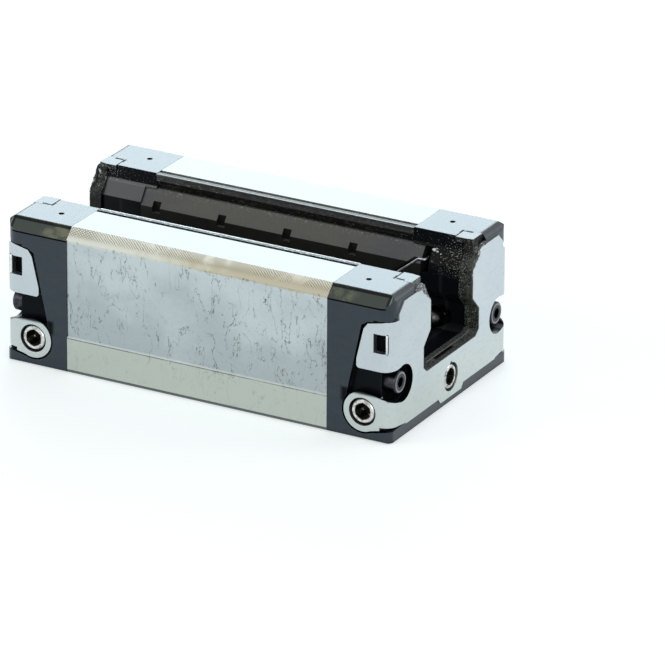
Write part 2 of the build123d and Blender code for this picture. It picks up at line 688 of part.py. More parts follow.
def end_plate():
    """Bent sheet of the front end with its two side flanges."""
    far = PLATE_X + CUT_PAST
    back_x = SIDE_PORT_X - LOBE_RADIUS - CUT_PAST
    bend_x = PLATE_X - BEND_RADIUS
    outer = rounded_front_plan(PLATE_X, HALF_WIDTH, BEND_RADIUS, back_x)
    inner = rounded_front_plan(CAP_FACE_X, CAP_SIDE_Y, BEND_RADIUS - PLATE_THICKNESS, back_x)
    sheet = along_z(outer - inner, 0, BODY_HEIGHT)
    flat_y = HALF_WIDTH - BEND_RADIUS
    flat_face = box_between((CAP_FACE_X, -flat_y, 0), (far, flat_y, BODY_HEIGHT))
    side_faces = along_y(flange_outline(), -HALF_WIDTH - CUT_PAST, HALF_WIDTH + CUT_PAST)
    sheet = sheet & (flat_face + side_faces)
    front = along_x(plate_front_outline(), bend_x, far)
    behind = box_between((back_x, -HALF_WIDTH - CUT_PAST, 0), (bend_x, HALF_WIDTH + CUT_PAST, BODY_HEIGHT))
    sheet = sheet & (front + behind)
    sheet -= along_x(plate_channel(), CAP_FACE_X, far)
    sheet -= both_sides(screw_slot(bend_x, far))
    window = box_between(
        (PLATE_X - WINDOW_BACK[1], CAP_SIDE_Y - CUT_PAST, PLATE_EAR_Z - WINDOW_DROP[0]),
        (PLATE_X - WINDOW_BACK[0], HALF_WIDTH + CUT_PAST, PLATE_EAR_Z - WINDOW_DROP[1]),
    )
    sheet -= both_sides(window)
    hole_radius = PORT_RADIUS + PORT_PLATE_CLEARANCE
    sheet -= rod_along_x(hole_radius, 0, FRONT_PORT_Z, CAP_FACE_X - CUT_PAST, far)
    side_hole = rod_along_y(hole_radius, SIDE_PORT_X, SIDE_PORT_Z, CAP_SIDE_Y - CUT_PAST, HALF_WIDTH + CUT_PAST)
    sheet -= both_sides(side_hole)
    dimple_z = FRONT_PORT_Z + DIMPLE_ABOVE_PORT
    sheet -= rod_along_x(DIMPLE_RADIUS, 0, dimple_z, PLATE_X - DIMPLE_DEPTH, far)
    return sheet


# End cap
def seat_side_outline():
    """Recess in the cap's side that takes the plate's flange, as (X, Z)."""
    far = PLATE_X + CUT_PAST
    top_z = PLATE_EAR_Z + SEAT_GAP
    points = [
        (far, top_z),
        (PLATE_X - FLANGE_TOP_BACK[0], top_z),
        (PLATE_X - FLANGE_TOP_BACK[1], PLATE_EAR_Z - FLANGE_TOP_DROP[1] / 2),
    ]
    points += [(PLATE_X - d, PLATE_EAR_Z - h) for d, h in zip(SEAT_INNER_BACK, SEAT_INNER_DROP)]
    points += [
        (PLATE_X - SEAT_LOW_BACK, SIDE_PORT_Z + SEAT_LOW_RISE),
        (SIDE_PORT_X - LOBE_RADIUS, SIDE_PORT_Z),
        (SIDE_PORT_X, SIDE_PORT_Z - LOBE_RADIUS - SEAT_LOBE_MARGIN),
        (PLATE_X, PLATE_STEP_Z - SEAT_GAP),
        (far, PLATE_STEP_Z - SEAT_GAP),
    ]
    return polygon(points) + Pos(SIDE_PORT_X, SIDE_PORT_Z) * Circle(LOBE_RADIUS + SEAT_LOBE_MARGIN)


def plate_seat():
    """Everything that is cut from the cap to seat the bent plate."""
    back_x = HALF_STEEL
    far = PLATE_X + CUT_PAST
    wide = HALF_WIDTH + CUT_PAST
    core = rounded_front_plan(CAP_FACE_X, CAP_SIDE_Y, BEND_RADIUS - PLATE_THICKNESS, back_x)
    around = polygon([(back_x, -wide), (far, -wide), (far, wide), (back_x, wide)]) - core
    band = along_z(around, 0, BODY_HEIGHT + CUT_PAST)
    front = along_x(plate_front_outline(SEAT_GAP), CAP_FACE_X - BEND_RADIUS, far)
    side = along_y(seat_side_outline(), -wide, wide)
    return band & (front + side)


def cap_back_pocket():
    """Space behind the cap's channel wall that takes both retainers' end blocks."""
    outline = symmetric_polygon([
        (0, DECK_THICKNESS),
        (RETAINER_INNER_Y, DECK_THICKNESS),
        (RETAINER_INNER_Y, INSERT_LOW_Z),
        (INSERT_BACK_Y, INSERT_LOW_Z),
        (INSERT_BACK_Y, RETAINER_TOP_Z),
        (0, RETAINER_TOP_Z),
    ])
    return along_x(outline, HALF_STEEL, TURN_X)


def wire_room():
    """Room in the cap's left side for the hooked end of the wire, and its hole."""
    room = box_between(
        (TURN_X, 0, LIP_PASSAGE_TOP_Z + HOOK_ROOM_ABOVE),
        (TURN_X + HOOK_ROOM_LENGTH, HOOK_ROOM_Y, RETAINER_TOP_Z),
    )
    hook_x = TURN_X + WIRE_HOOK_FORWARD
    return room + rod_along_y(WIRE_HOLE_RADIUS, hook_x, WIRE_END_Z, WIRE_Y, WIRE_Y + WIRE_HOOK_OUT)


def cap_side_cuts():
    """Cuts in the left half of the cap that repeat in the right half."""
    cuts = [along_x(guide_outline(), HALF_STEEL, TURN_X)]
    cuts += turn_lugs(LUG_RADIUS + GUIDE_GAP, LUG_HALF_WIDTH + GUIDE_GAP)
    cuts += turn_passages(PASSAGE_RADIUS)
    cuts.append(screw_slot(SCREW_SEAT_X, PLATE_X + CUT_PAST))
    cuts.append(rod_along_x(SCREW_RADIUS + SCREW_CLEARANCE, SCREW_Y, SCREW_Z, HALF_STEEL, SCREW_SEAT_X))
    cuts.append(rod_along_y(PORT_RADIUS, SIDE_PORT_X, SIDE_PORT_Z, CAP_SIDE_Y - PORT_DEPTH, HALF_WIDTH))
    gate_place = Pos(HALF_STEEL + GATE_FROM_BODY, HALF_WIDTH - GATE_IN)
    cuts.append(along_z(gate_place * Circle(GATE_RADIUS), BODY_HEIGHT - GATE_DEPTH, BODY_HEIGHT))
    return cuts


def cap_blank():
    """Outer form of the cap: chamfered section, rounded plan and rounded top edge."""
    plan = along_z(rounded_front_plan(CAP_RIM_X, HALF_WIDTH, BEND_RADIUS, HALF_STEEL), CAP_FOOT_Z, BODY_HEIGHT)
    plan += along_z(rounded_front_plan(CAP_RIM_X, HALF_WIDTH, CAP_FOOT_CORNER, HALF_STEEL), 0, CAP_FOOT_Z)
    section = along_x(symmetric_polygon([
        (0, CAP_BASE_Z),
        (HALF_WIDTH - CAP_BASE_CHAMFER, CAP_BASE_Z),
        (HALF_WIDTH, CAP_BASE_Z + CAP_BASE_CHAMFER),
        (HALF_WIDTH, BODY_HEIGHT - TOP_CHAMFER),
        (HALF_WIDTH - TOP_CHAMFER, BODY_HEIGHT),
        (0, BODY_HEIGHT),
    ]), HALF_STEEL, CAP_RIM_X)
    profile = polygon([
        (HALF_STEEL, 0),
        (CAP_RIM_X, 0),
        (CAP_RIM_X, BODY_HEIGHT),
        (HALF_STEEL, BODY_HEIGHT),
    ])
    top_front = profile.vertices().group_by(Axis.X)[-1].sort_by(Axis.Y)[-1]
    profile = fillet(top_front, CAP_RIM_RADIUS)
    return plan & section & along_y(profile, -HALF_WIDTH, HALF_WIDTH)


def end_cap():
    """Moulded front end cap with the outer sides of the ball turns."""
    cap = cap_blank() - plate_seat()
    cap -= along_x(channel_outline(CAP_WAIST_Z, CAP_MOUTH_HALF, CAP_MOUTH_Z), HALF_STEEL, PLATE_X)
    cap -= cap_back_pocket()
    cap -= wire_room()
    cap -= seal_recess()
    for side_cut in cap_side_cuts():
        cap -= both_sides(side_cut)
    cap -= rod_along_x(PORT_RADIUS, 0, FRONT_PORT_Z, CAP_FACE_X - PORT_DEPTH, PLATE_X)
    return cap


# End seal
def seal_outline():
    """Body of the seal round the channel, without its heads at the leg ends."""
    return symmetric_polygon([
        (0, SEAL_OUTER_Z),
        (SEAL_OUTER_Y - SEAL_CORNER, SEAL_OUTER_Z),
        (SEAL_OUTER_Y, SEAL_OUTER_Z + SEAL_CORNER),
        (SEAL_OUTER_Y, BODY_HEIGHT),
        (0, BODY_HEIGHT),
    ])


def seal_tabs(gap=0.0):
    """Tabs that hook over the cap's top at each leg end."""
    return box_between(
        (SEAL_BACK_X - TAB_LENGTH - gap, -TAB_OUTER_Y - gap, BODY_HEIGHT - TAB_HEIGHT),
        (SEAL_BACK_X, TAB_OUTER_Y + gap, BODY_HEIGHT),
    )


def seal_blank():
    """Seal without its channel: a body, a head at each leg end and a hooked tab on top."""
    head_z = BODY_HEIGHT - PLATE_TOP_DROP
    body = along_x(seal_outline(), SEAL_BACK_X, CAP_FACE_X)
    heads = box_between(
        (SEAL_BACK_X, -SEAL_OUTER_Y, head_z),
        (CAP_FACE_X + SEAL_HEAD_FRONT, SEAL_OUTER_Y, BODY_HEIGHT),
    )
    return body + heads


def seal_recess():
    room_in_front = box_between((CAP_FACE_X, -SEAL_OUTER_Y, PLATE_MOUTH_Z), (PLATE_X, SEAL_OUTER_Y, BODY_HEIGHT))
    return seal_blank() + seal_tabs(TAB_GAP) + room_in_front


def seal_lip_cut():
    """Funnel through the seal, tightest behind and opening towards the plate's edge."""
    behind = channel_outline(PLATE_WAIST_Z, SEAL_MOUTH_HALF, SEAL_MOUTH_Z, -SEAL_LIP)
    ahead = plate_channel(-SEAL_FRONT_LIP)
    front_x = PLATE_X + SEAL_FRONT_SETBACK
    funnel = loft([Plane.YZ.offset(SEAL_BACK_X) * behind, Plane.YZ.offset(front_x) * ahead], ruled=True)
    return funnel + along_x(behind, SEAL_BACK_X - TAB_LENGTH - CUT_PAST, SEAL_BACK_X)


def end_seal():
    """Rubber seal of the front end, whose lip lines the plate's opening."""
    collar = along_x(plate_channel(-SEAL_PLATE_GAP), CAP_FACE_X, PLATE_X - SEAL_FRONT_SETBACK)
    below_mouth = box_between((CAP_FACE_X, -SEAL_OUTER_Y, 0), (PLATE_X, SEAL_OUTER_Y, PLATE_MOUTH_Z))
    return seal_blank() + seal_tabs() + (collar & below_mouth) - seal_lip_cut()


# Side seal
def side_seal():
    """Rubber seal along the end of the left leg."""
    top_z = BODY_HEIGHT - SIDE_SEAL_TOP_DROP
    strip_base_z = BODY_HEIGHT - STRIP_TOP_DROP - STRIP_THICKNESS
    foot_z = BODY_HEIGHT - SIDE_SEAL_DEPTH
    lip_z = BODY_HEIGHT - SIDE_LIP_DROP
    outline = polygon([
        (LEG_WALL_Y, foot_z),
        (LEG_WALL_Y, top_z),
        (STRIP_OUTER_Y, top_z),
        (STRIP_OUTER_Y, strip_base_z),
        (STRIP_INNER_Y + SIDE_LIP_BACK, strip_base_z),
        (STRIP_INNER_Y, lip_z),
        (STRIP_INNER_Y + SIDE_LIP_BACK, lip_z - SIDE_LIP_HEIGHT),
        (ROW_Y, foot_z),
    ])
    return along_x(outline, -HALF_STEEL, HALF_STEEL)


def side_seal_strip():
    """Metal strip that backs the side seal of the left leg."""
    top_z = BODY_HEIGHT - STRIP_TOP_DROP
    return box_between(
        (-HALF_STEEL, STRIP_INNER_Y, top_z - STRIP_THICKNESS),
        (HALF_STEEL, STRIP_OUTER_Y, top_z),
    )


# Screws
def hex_socket(width, depth):
    return extrude(RegularPolygon(width / 2, 6, major_radius=False), amount=-depth)


def cap_screw():
    """Socket head screw of the left front corner, with its axis along X."""
    head = Pos(0, 0, -SCREW_HEAD_HEIGHT / 2) * Cylinder(SCREW_HEAD_RADIUS, SCREW_HEAD_HEIGHT)
    head = chamfer(head.edges().filter_by(GeomType.CIRCLE).sort_by(Axis.Z)[-1], SCREW_HEAD_CHAMFER)
    head -= hex_socket(SCREW_SOCKET, SCREW_SOCKET_DEPTH)
    shank_length = SCREW_SEAT_X - HALF_STEEL + SCREW_GRIP
    shank = Pos(0, 0, -SCREW_HEAD_HEIGHT - shank_length / 2) * Cylinder(SCREW_RADIUS, shank_length)
    plane = Plane(origin=(SCREW_FACE_X, SCREW_Y, SCREW_Z), x_dir=(0, 1, 0), z_dir=(1, 0, 0))
    return plane.location * (head + shank)


def port_plug(origin, direction):
    """Set screw that closes a lubrication port."""
    plug = Pos(0, 0, -PORT_PLUG_LENGTH / 2) * Cylinder(PORT_PLUG_RADIUS, PORT_PLUG_LENGTH)
    plug = chamfer(plug.edges().filter_by(GeomType.CIRCLE), PORT_PLUG_CHAMFER)
    plug -= hex_socket(PORT_PLUG_SOCKET, PORT_PLUG_SOCKET_DEPTH)
    plane = Plane(origin=origin, x_dir=(0, 0, 1), z_dir=direction)
    return plane.location * plug


# Assembly
def place_sides(nodes, name, solid):
    """A piece of the left leg, and the same piece turned round for the right leg."""
    nodes["left_" + name] = solid
    nodes["right_" + name] = half_turn(solid)


def place_ends(nodes, name, solid):
    """A piece of the front end, and the same piece turned round for the rear end."""
    nodes["front_" + name] = solid
    nodes["rear_" + name] = half_turn(solid)


def place_corners(nodes, name, solid):
    """A piece of the left front corner and its images in the other three corners."""
    mirrored = mirror(solid, about=Plane.XZ)
    nodes["front_left_" + name] = solid
    nodes["front_right_" + name] = mirrored
    nodes["rear_left_" + name] = half_turn(mirrored)
    nodes["rear_right_" + name] = half_turn(solid)


def build_nodes():
    nodes = {"steel_body": steel_body()}
    place_sides(nodes, "raceway_insert", raceway_insert())
    place_sides(nodes, "ball_retainer", ball_retainer())
    place_sides(nodes, "retaining_wire", retaining_wire())
    place_sides(nodes, "side_seal", side_seal())
    place_sides(nodes, "side_seal_strip", side_seal_strip())
    for row, row_z in ROW_HEIGHTS.items():
        place_sides(nodes, row + "_row_balls", ball_circuit(row_z))
        place_sides(nodes, row + "_return_tube", return_tube(row_z))
    place_ends(nodes, "end_cap", end_cap())
    place_ends(nodes, "end_seal", end_seal())
    place_ends(nodes, "end_plate", end_plate())
    place_ends(nodes, "port_plug", port_plug((PLATE_X - PORT_PLUG_IN, 0, FRONT_PORT_Z), (1, 0, 0)))
    place_corners(nodes, "return_guide", return_guide())
    place_corners(nodes, "cap_screw", cap_screw())
    side_plug = port_plug((SIDE_PORT_X, HALF_WIDTH - PORT_PLUG_IN, SIDE_PORT_Z), (0, 1, 0))
    place_corners(nodes, "side_port_plug", side_plug)
    return nodes


def main():
    os.makedirs("parts", exist_ok=True)
    for name, shape in build_nodes().items():
        export_step(shape, "parts/" + name + ".step")


main()
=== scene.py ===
"""Looks of the linear guide carriage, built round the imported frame. Materials work in millimetres."""

import json
import math

import bmesh
import bpy
from mathutils import Matrix, Vector, noise


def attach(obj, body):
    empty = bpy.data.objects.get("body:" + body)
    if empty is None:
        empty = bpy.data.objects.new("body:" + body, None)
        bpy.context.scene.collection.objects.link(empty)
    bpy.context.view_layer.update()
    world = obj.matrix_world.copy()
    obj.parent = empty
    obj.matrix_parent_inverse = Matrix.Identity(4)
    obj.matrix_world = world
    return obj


MM = 0.001

# Camera, fitted to the photograph's perspective
IMAGE_SIDE = 665
CAMERA_AZIMUTH = math.radians(28.77)
CAMERA_ELEVATION = math.radians(22.68)
CAMERA_ROLL = math.radians(0.35)
CAMERA_DISTANCE = 1285.33
CAMERA_OFFSET = (14.872, 5.334)
FOCAL_PIXELS = 6547.51
SENSOR_WIDTH = 36.0

# Colours, linear
WHITE = (1.0, 1.0, 1.0)
STEEL_SIDE_LIGHT = (0.525, 0.588, 0.606)
STEEL_SIDE_DARK = (0.400, 0.452, 0.466)
STEEL_BAND = (0.475, 0.518, 0.474)
STEEL_CHAMFER_PALE_REFLECTION = (0.60, 0.615, 0.55)
STEEL_CHAMFER_WARM_REFLECTION = (0.465, 0.44, 0.335)
STEEL_TOP = (0.50, 0.54, 0.56)
STEEL_INK = (0.085, 0.10, 0.085)
STEEL_CREAM_HIGHLIGHT = (0.74, 0.73, 0.62)
STEEL_SHADOW = (0.075, 0.085, 0.085)
STEEL_RIM_HIGHLIGHT = (0.78, 0.79, 0.72)
STEEL_HATCH = (0.17, 0.165, 0.12)
STEEL_LEDGE = (0.15, 0.16, 0.14)
STEEL_GREASE_AND_SHADE = (0.020, 0.020, 0.018)
RACEWAY_GREASE_AND_SHADE = (0.07, 0.07, 0.07)
BALL_GREASE_AND_SHADE = (0.06, 0.06, 0.06)
WIRE_GREY = (0.52, 0.54, 0.58)
PLASTIC_BLACK = (0.006, 0.020, 0.036)
PLASTIC_LINE_AND_SHADE = (0.0030, 0.0035, 0.0045)
PLASTIC_OLIVE_TONE_AND_REFLECTION = (0.026, 0.041, 0.031)
PLASTIC_SMEAR = (0.150, 0.160, 0.098)
PLASTIC_SKY_REFLECTION = (0.008, 0.032, 0.050)
PLASTIC_END_SLOPE = (0.030, 0.045, 0.058)
PLASTIC_SHINE = (0.24, 0.27, 0.27)
PLASTIC_INSIDE_GREASE_AND_SHADE = (0.0045, 0.0062, 0.0085)
PLASTIC_SLATE = (0.068, 0.073, 0.080)
PLASTIC_STREAK = (0.014, 0.015, 0.018)
PLASTIC_EDGE_HIGHLIGHT = (0.20, 0.22, 0.22)
TUBE_PALE = (0.50, 0.49, 0.45)
TUBE_TINT = (0.42, 0.41, 0.37)
BAND_BROWN = (0.080, 0.081, 0.072)
BAND_SLATE = (0.056, 0.060, 0.068)
BAND_SMEAR = (0.090, 0.085, 0.068)
BAND_SPOT = (0.16, 0.15, 0.12)
BAND_WALL_SHADE = (0.018, 0.018, 0.015)
SHEET_LIGHT = (0.590, 0.648, 0.682)
SHEET_DARK = (0.560, 0.620, 0.660)
SHEET_LOW = (0.585, 0.640, 0.625)
SHEET_EDGE_HIGHLIGHT = (0.80, 0.84, 0.84)
SHEET_CUT_SHADE_AND_GRIME = (0.020, 0.022, 0.025)
CATCH_LIGHT = (0.80, 0.82, 0.81)
CATCH_DARK = (0.62, 0.65, 0.64)
CATCH_SHADOW_LINE = (0.10, 0.11, 0.11)
STRIP_NEAR = (0.42, 0.44, 0.44)
STRIP_FAR = (0.20, 0.21, 0.21)
STRIP_GRIME = (0.030, 0.031, 0.029)
PLUG_LIGHT = (0.74, 0.73, 0.70)
PLUG_DULL = (0.38, 0.38, 0.36)
PLUG_WORN = (0.085, 0.085, 0.080)
PLUG_SOCKET_SHADE = (0.030, 0.030, 0.028)
PLUG_RIM_SHADE = (0.05, 0.05, 0.045)
SCREW_DARK = (0.030, 0.031, 0.036)
SCREW_LIGHT = (0.060, 0.058, 0.066)
SCREW_RING = (0.25, 0.26, 0.29)
SCREW_SOCKET_SHADE = (0.004, 0.004, 0.005)
SCREW_EDGE_HIGHLIGHT = (0.30, 0.30, 0.34)
GREASE_BLACK = (0.006, 0.006, 0.006)
GREASE_OLIVE = (0.024, 0.026, 0.022)
GREASE_GLINT = (0.27, 0.29, 0.25)
DROP_GLINT_LIGHT = (0.82, 0.84, 0.82)
DROP_GLINT_DIM = (0.50, 0.51, 0.48)
LIP_FILM = (0.46, 0.50, 0.54)
LIP_DARK = (0.020, 0.021, 0.022)
LIP_STREAK = (0.68, 0.71, 0.74)
LIP_FOLD_SHADE = (0.03, 0.035, 0.04)
SEAL_FLOOR_DARK = (0.030, 0.033, 0.034)
SEAL_FLOOR_LIGHT = (0.150, 0.158, 0.150)
SEAL_LINE = (0.24, 0.25, 0.25)
SEAL_OLIVE = (0.098, 0.102, 0.076)
SEAL_CORNER = (0.30, 0.33, 0.35)
SEAL_EDGE_HIGHLIGHT = (0.30, 0.33, 0.34)
SEAL_GRIME = (0.030, 0.031, 0.027)
SEAL_GLINT = (0.20, 0.21, 0.19)

# Places that materials and pieces follow, in millimetres
HALF_WIDTH = 24.0
TOP_Z = 30.0
STEP_Z = 7.5
CHAMFER_FOOT_Z = 27.7
CHANNEL_EDGE_Y = 12.6
CAP_CHANNEL_Y = 12.4
CAP_FLOOR_Z = 9.4
CAP_SLOPE_Y = 19.0
CAP_SLOPE_FOOT_Z = 27.0
CAP_LINE_Z = (27.38, 27.68)
CAP_CORNER_X = (41.35, 41.75)
CAP_CORNER_SHINE_X = (41.92, 42.06)
CAP_STREAK_X = (35.7, 36.2)
TAB_SIDE_Y = (13.80, 14.32)
TAB_BACK_X = (37.72, 38.15)
WORN_SPOTS = (
    ((30.9, 28.8), (1.0, 1.2)),
    ((33.4, 28.5), (0.9, 1.3)),
)
WAIST_Z = 24.1
SEAL_LINE_X = (41.26, 41.44)
SEAL_LINE_Y = (-6.5, 10.0)
SEAL_PATCH_X = (41.52, 42.20)
SEAL_PATCH_Y = (-4.4, 2.4)
SEAL_CORNER_Y = -9.0
SEAL_CORNER_Z = 25.4
STRIP_EDGE_Y = 10.95
BAND_MIDDLE_X = -4.0
BAND_RIM_Z = 25.6
PORT_X = 36.65
PORT_Z = 5.7
FRONT_PORT_Z = 5.45
PLUG_RADIUS = 2.65
SOCKET_RADIUS = 1.72
SCREW_Y = 19.7
SCREW_Z = 11.5
SCREW_HEAD_RING = (1.76, 1.96)
SCREW_SOCKET_RADIUS = 1.30
SCREW_CUT_RADIUS = 4.7
SLOT_Y = 19.5
SLOT_Z = 11.35
SLOT_RADIUS = 4.45
DECK_HOLE_X = 17.5
DECK_HOLE_Y = 17.5
DECK_HOLE_RADIUS = 2.5
DECK_HOLE_DEPTH = 8.0
THREAD_START = 0.5
THREAD_END_GAP = 1.6
THREAD_PITCH = 1.0
THREAD_HEIGHT = 0.22
THREAD_ROOT = 0.03
THREAD_FOOT_SHARE = 0.42
THREAD_CREST_SHARE = 0.07
THREAD_STEPS = 40
WINDOW_BACK_X = (38.85, 41.6)
WINDOW_X = 41.75
WINDOW_Z = (18.25, 22.45)
CATCH_HALF_WIDTH = 0.32
CATCH_RISE = 0.24
CATCH_SINK = 0.04
CATCH_STEPS = 8
LIP_X = 42.85
LIP_RADIUS = 0.50
LIP_STEP = 0.22
LIP_SIDES = 12
LIP_LUMPS = 0.42
LIP_CORNERS = ((14.6, 28.35), (13.2, 28.50), (12.1, 28.45), (11.45, 28.0))
LIP_HEIGHTS = (27.2, 26.5, 25.8, 25.1, 24.5, 23.6, 22.6, 21.6, 20.6, 19.6, 18.8)
GREASE_DROPS = (
    ((33.65, 10.35, 26.38), 0.36),
    ((34.45, 10.20, 26.18), 0.20),
    ((34.15, 10.55, 26.66), 0.16),
    ((35.30, 10.00, 25.90), 0.15),
)
DROP_LUMPS = 0.35

# Places in the noise, in cycles
WANDER_SHIFT = (3.7, 1.9, 8.3)
LOOP_SHIFT = (9.1, 4.4, 2.2)

# Stage, in metres and watts
WORLD_LIGHT = 0.50
FLOOR_REACH = 4.0
FLOOR_GLOW = 0.49
FLOOR_GLOW_COLOR = (0.93, 0.985, 1.0, 1.0)
FLOOR_COLOR = (0.7566, 0.78, 0.78, 1.0)
LAMP_AIM = Vector((0.0, 0.0, 0.015))
LAMPS = {
    "back_softbox": ((-0.63, 1.15, 0.56), (0.72, 0.42), 5.1, (0.82, 0.98, 1.06)),
    "front_right_softbox": ((0.85, -0.95, 0.50), (0.7, 0.6), 3.2, WHITE),
    "front_softbox": ((-1.1, -1.0, 0.60), (0.8, 0.8), 5.0, WHITE),
    "right_softbox": ((1.0, 0.85, 0.60), (0.7, 0.7), 3.2, WHITE),
}


# Node graphs
class Graph:
    """One material's node tree, written through short calls that return sockets."""

    def __init__(self, name):
        self.material = bpy.data.materials.new(name)
        self.material.use_nodes = True
        self.tree = self.material.node_tree
        self.tree.nodes.clear()
        coordinates = self.node("TexCoord")
        self.place = self.vector("SCALE", coordinates.outputs["Object"], scale=1000.0)
        self.normal = coordinates.outputs["Normal"]
        self.x, self.y, self.z = self.split(self.place)
        self.nx, self.ny, self.nz = self.split(self.normal)

    def node(self, kind, inputs=None, **settings):
        made = self.tree.nodes.new("ShaderNode" + kind)
        for key, value in settings.items():
            setattr(made, key, value)
        for key, value in (inputs or {}).items():
            self.feed(made.inputs[key], value)
        return made

    def feed(self, socket, value):
        """Links a socket or sets a plain value or colour."""
        if isinstance(value, bpy.types.NodeSocket):
            self.tree.links.new(value, socket)
        elif socket.type == "RGBA" and len(value) == 3:
            socket.default_value = (*value, 1.0)
        else:
            socket.default_value = value

    def split(self, vector):
        return self.node("SeparateXYZ", {0: vector}).outputs

    def math(self, operation, a, b=0.0, clamp=False):
        made = self.node("Math", {0: a, 1: b}, operation=operation, use_clamp=clamp)
        return made.outputs[0]

    def add(self, a, b):
        return self.math("ADD", a, b)

    def times(self, a, b):
        return self.math("MULTIPLY", a, b)

    def absolute(self, a):
        return self.math("ABSOLUTE", a)

    def vector(self, operation, a, b=None, scale=None):
        inputs = {0: a}
        if b is not None:
            inputs[1] = b
        if scale is not None:
            inputs["Scale"] = scale
        return self.node("VectorMath", inputs, operation=operation).outputs[0]

    def stretched(self, x, y, z):
        """Place of the point with each axis scaled, in cycles per millimetre."""
        return self.vector("MULTIPLY", self.place, (x, y, z))

    def ramp(self, value, low, high, start=0.0, end=1.0):
        """Smooth step from start to end while the value goes from low to high."""
        inputs = {"Value": value, "From Min": low, "From Max": high, "To Min": start, "To Max": end}
        return self.node("MapRange", inputs, interpolation_type="SMOOTHSTEP").outputs[0]

    def noise(self, vector, detail=4.0, roughness=0.55, distortion=0.0):
        inputs = {"Vector": vector, "Scale": 1.0, "Detail": detail}
        inputs.update({"Roughness": roughness, "Distortion": distortion})
        return self.node("TexNoise", inputs).outputs["Fac"]

    def mix(self, factor, a, b):
        """Colour between a and b."""
        made = self.node("Mix", data_type="RGBA")
        self.feed(made.inputs[0], factor)
        self.feed(made.inputs[6], a)
        self.feed(made.inputs[7], b)
        return made.outputs[2]

    def bump(self, height, depth, normal=None):
        """Bump of a height given as 0 to 1, where depth is in millimetres."""
        inputs = {"Height": height, "Distance": depth * MM, "Strength": 1.0}
        if normal is not None:
            inputs["Normal"] = normal
        return self.node("Bump", inputs).outputs[0]

    def lines(self, noise, width, level=0.5):
        """1 along the contour where a noise passes the level."""
        away = self.absolute(self.add(noise, -level))
        return self.ramp(away, 0.0, width, 1.0, 0.0)

    def both(self, *values):
        """Product of masks and strengths."""
        product = values[0]
        for value in values[1:]:
            product = self.times(product, value)
        return product

    def most(self, *values):
        """The largest of several masks."""
        largest = values[0]
        for value in values[1:]:
            largest = self.math("MAXIMUM", largest, value)
        return largest

    def rest(self, a):
        """What a mask leaves of the whole."""
        return self.math("SUBTRACT", 1.0, a, clamp=True)

    def without(self, a, b):
        """The part of mask a that mask b leaves."""
        return self.times(a, self.rest(b))

    def band(self, value, low, high, blur=0.1):
        """1 from low to high, fading over the blur on both sides."""
        return self.times(self.ramp(value, low - blur, low), self.ramp(value, high + blur, high))

    def radius(self, a, b):
        """Distance from the middle of two coordinates."""
        return self.math("SQRT", self.add(self.times(a, a), self.times(b, b)))

    def blend(self, factor, a, b):
        """Number between a and b."""
        inputs = {"Value": factor, "To Min": a, "To Max": b}
        return self.node("MapRange", inputs).outputs[0]

    def edges(self, radius):
        """Mask of the edges that a small rounding covers, and the rounded normal."""
        rounded = self.node("Bevel", {"Radius": radius * MM}, samples=4).outputs[0]
        plain = self.node("NewGeometry").outputs["Normal"]
        same = self.node("VectorMath", {0: rounded, 1: plain}, operation="DOT_PRODUCT").outputs["Value"]
        return self.ramp(same, 0.995, 0.90), rounded

    def openness(self, distance):
        """1 in the open and 0 deep in a gap."""
        return self.node("AmbientOcclusion", {"Distance": distance * MM}, samples=6).outputs["AO"]

    def finish(self, **inputs):
        """Principled shader with the inputs given by their names."""
        named = {}
        for key, value in inputs.items():
            named[key.replace("_", " ").title().replace("Ior", "IOR")] = value
        shader = self.node("BsdfPrincipled", named)
        output = self.node("OutputMaterial")
        self.tree.links.new(shader.outputs[0], output.inputs[0])
        return self.material


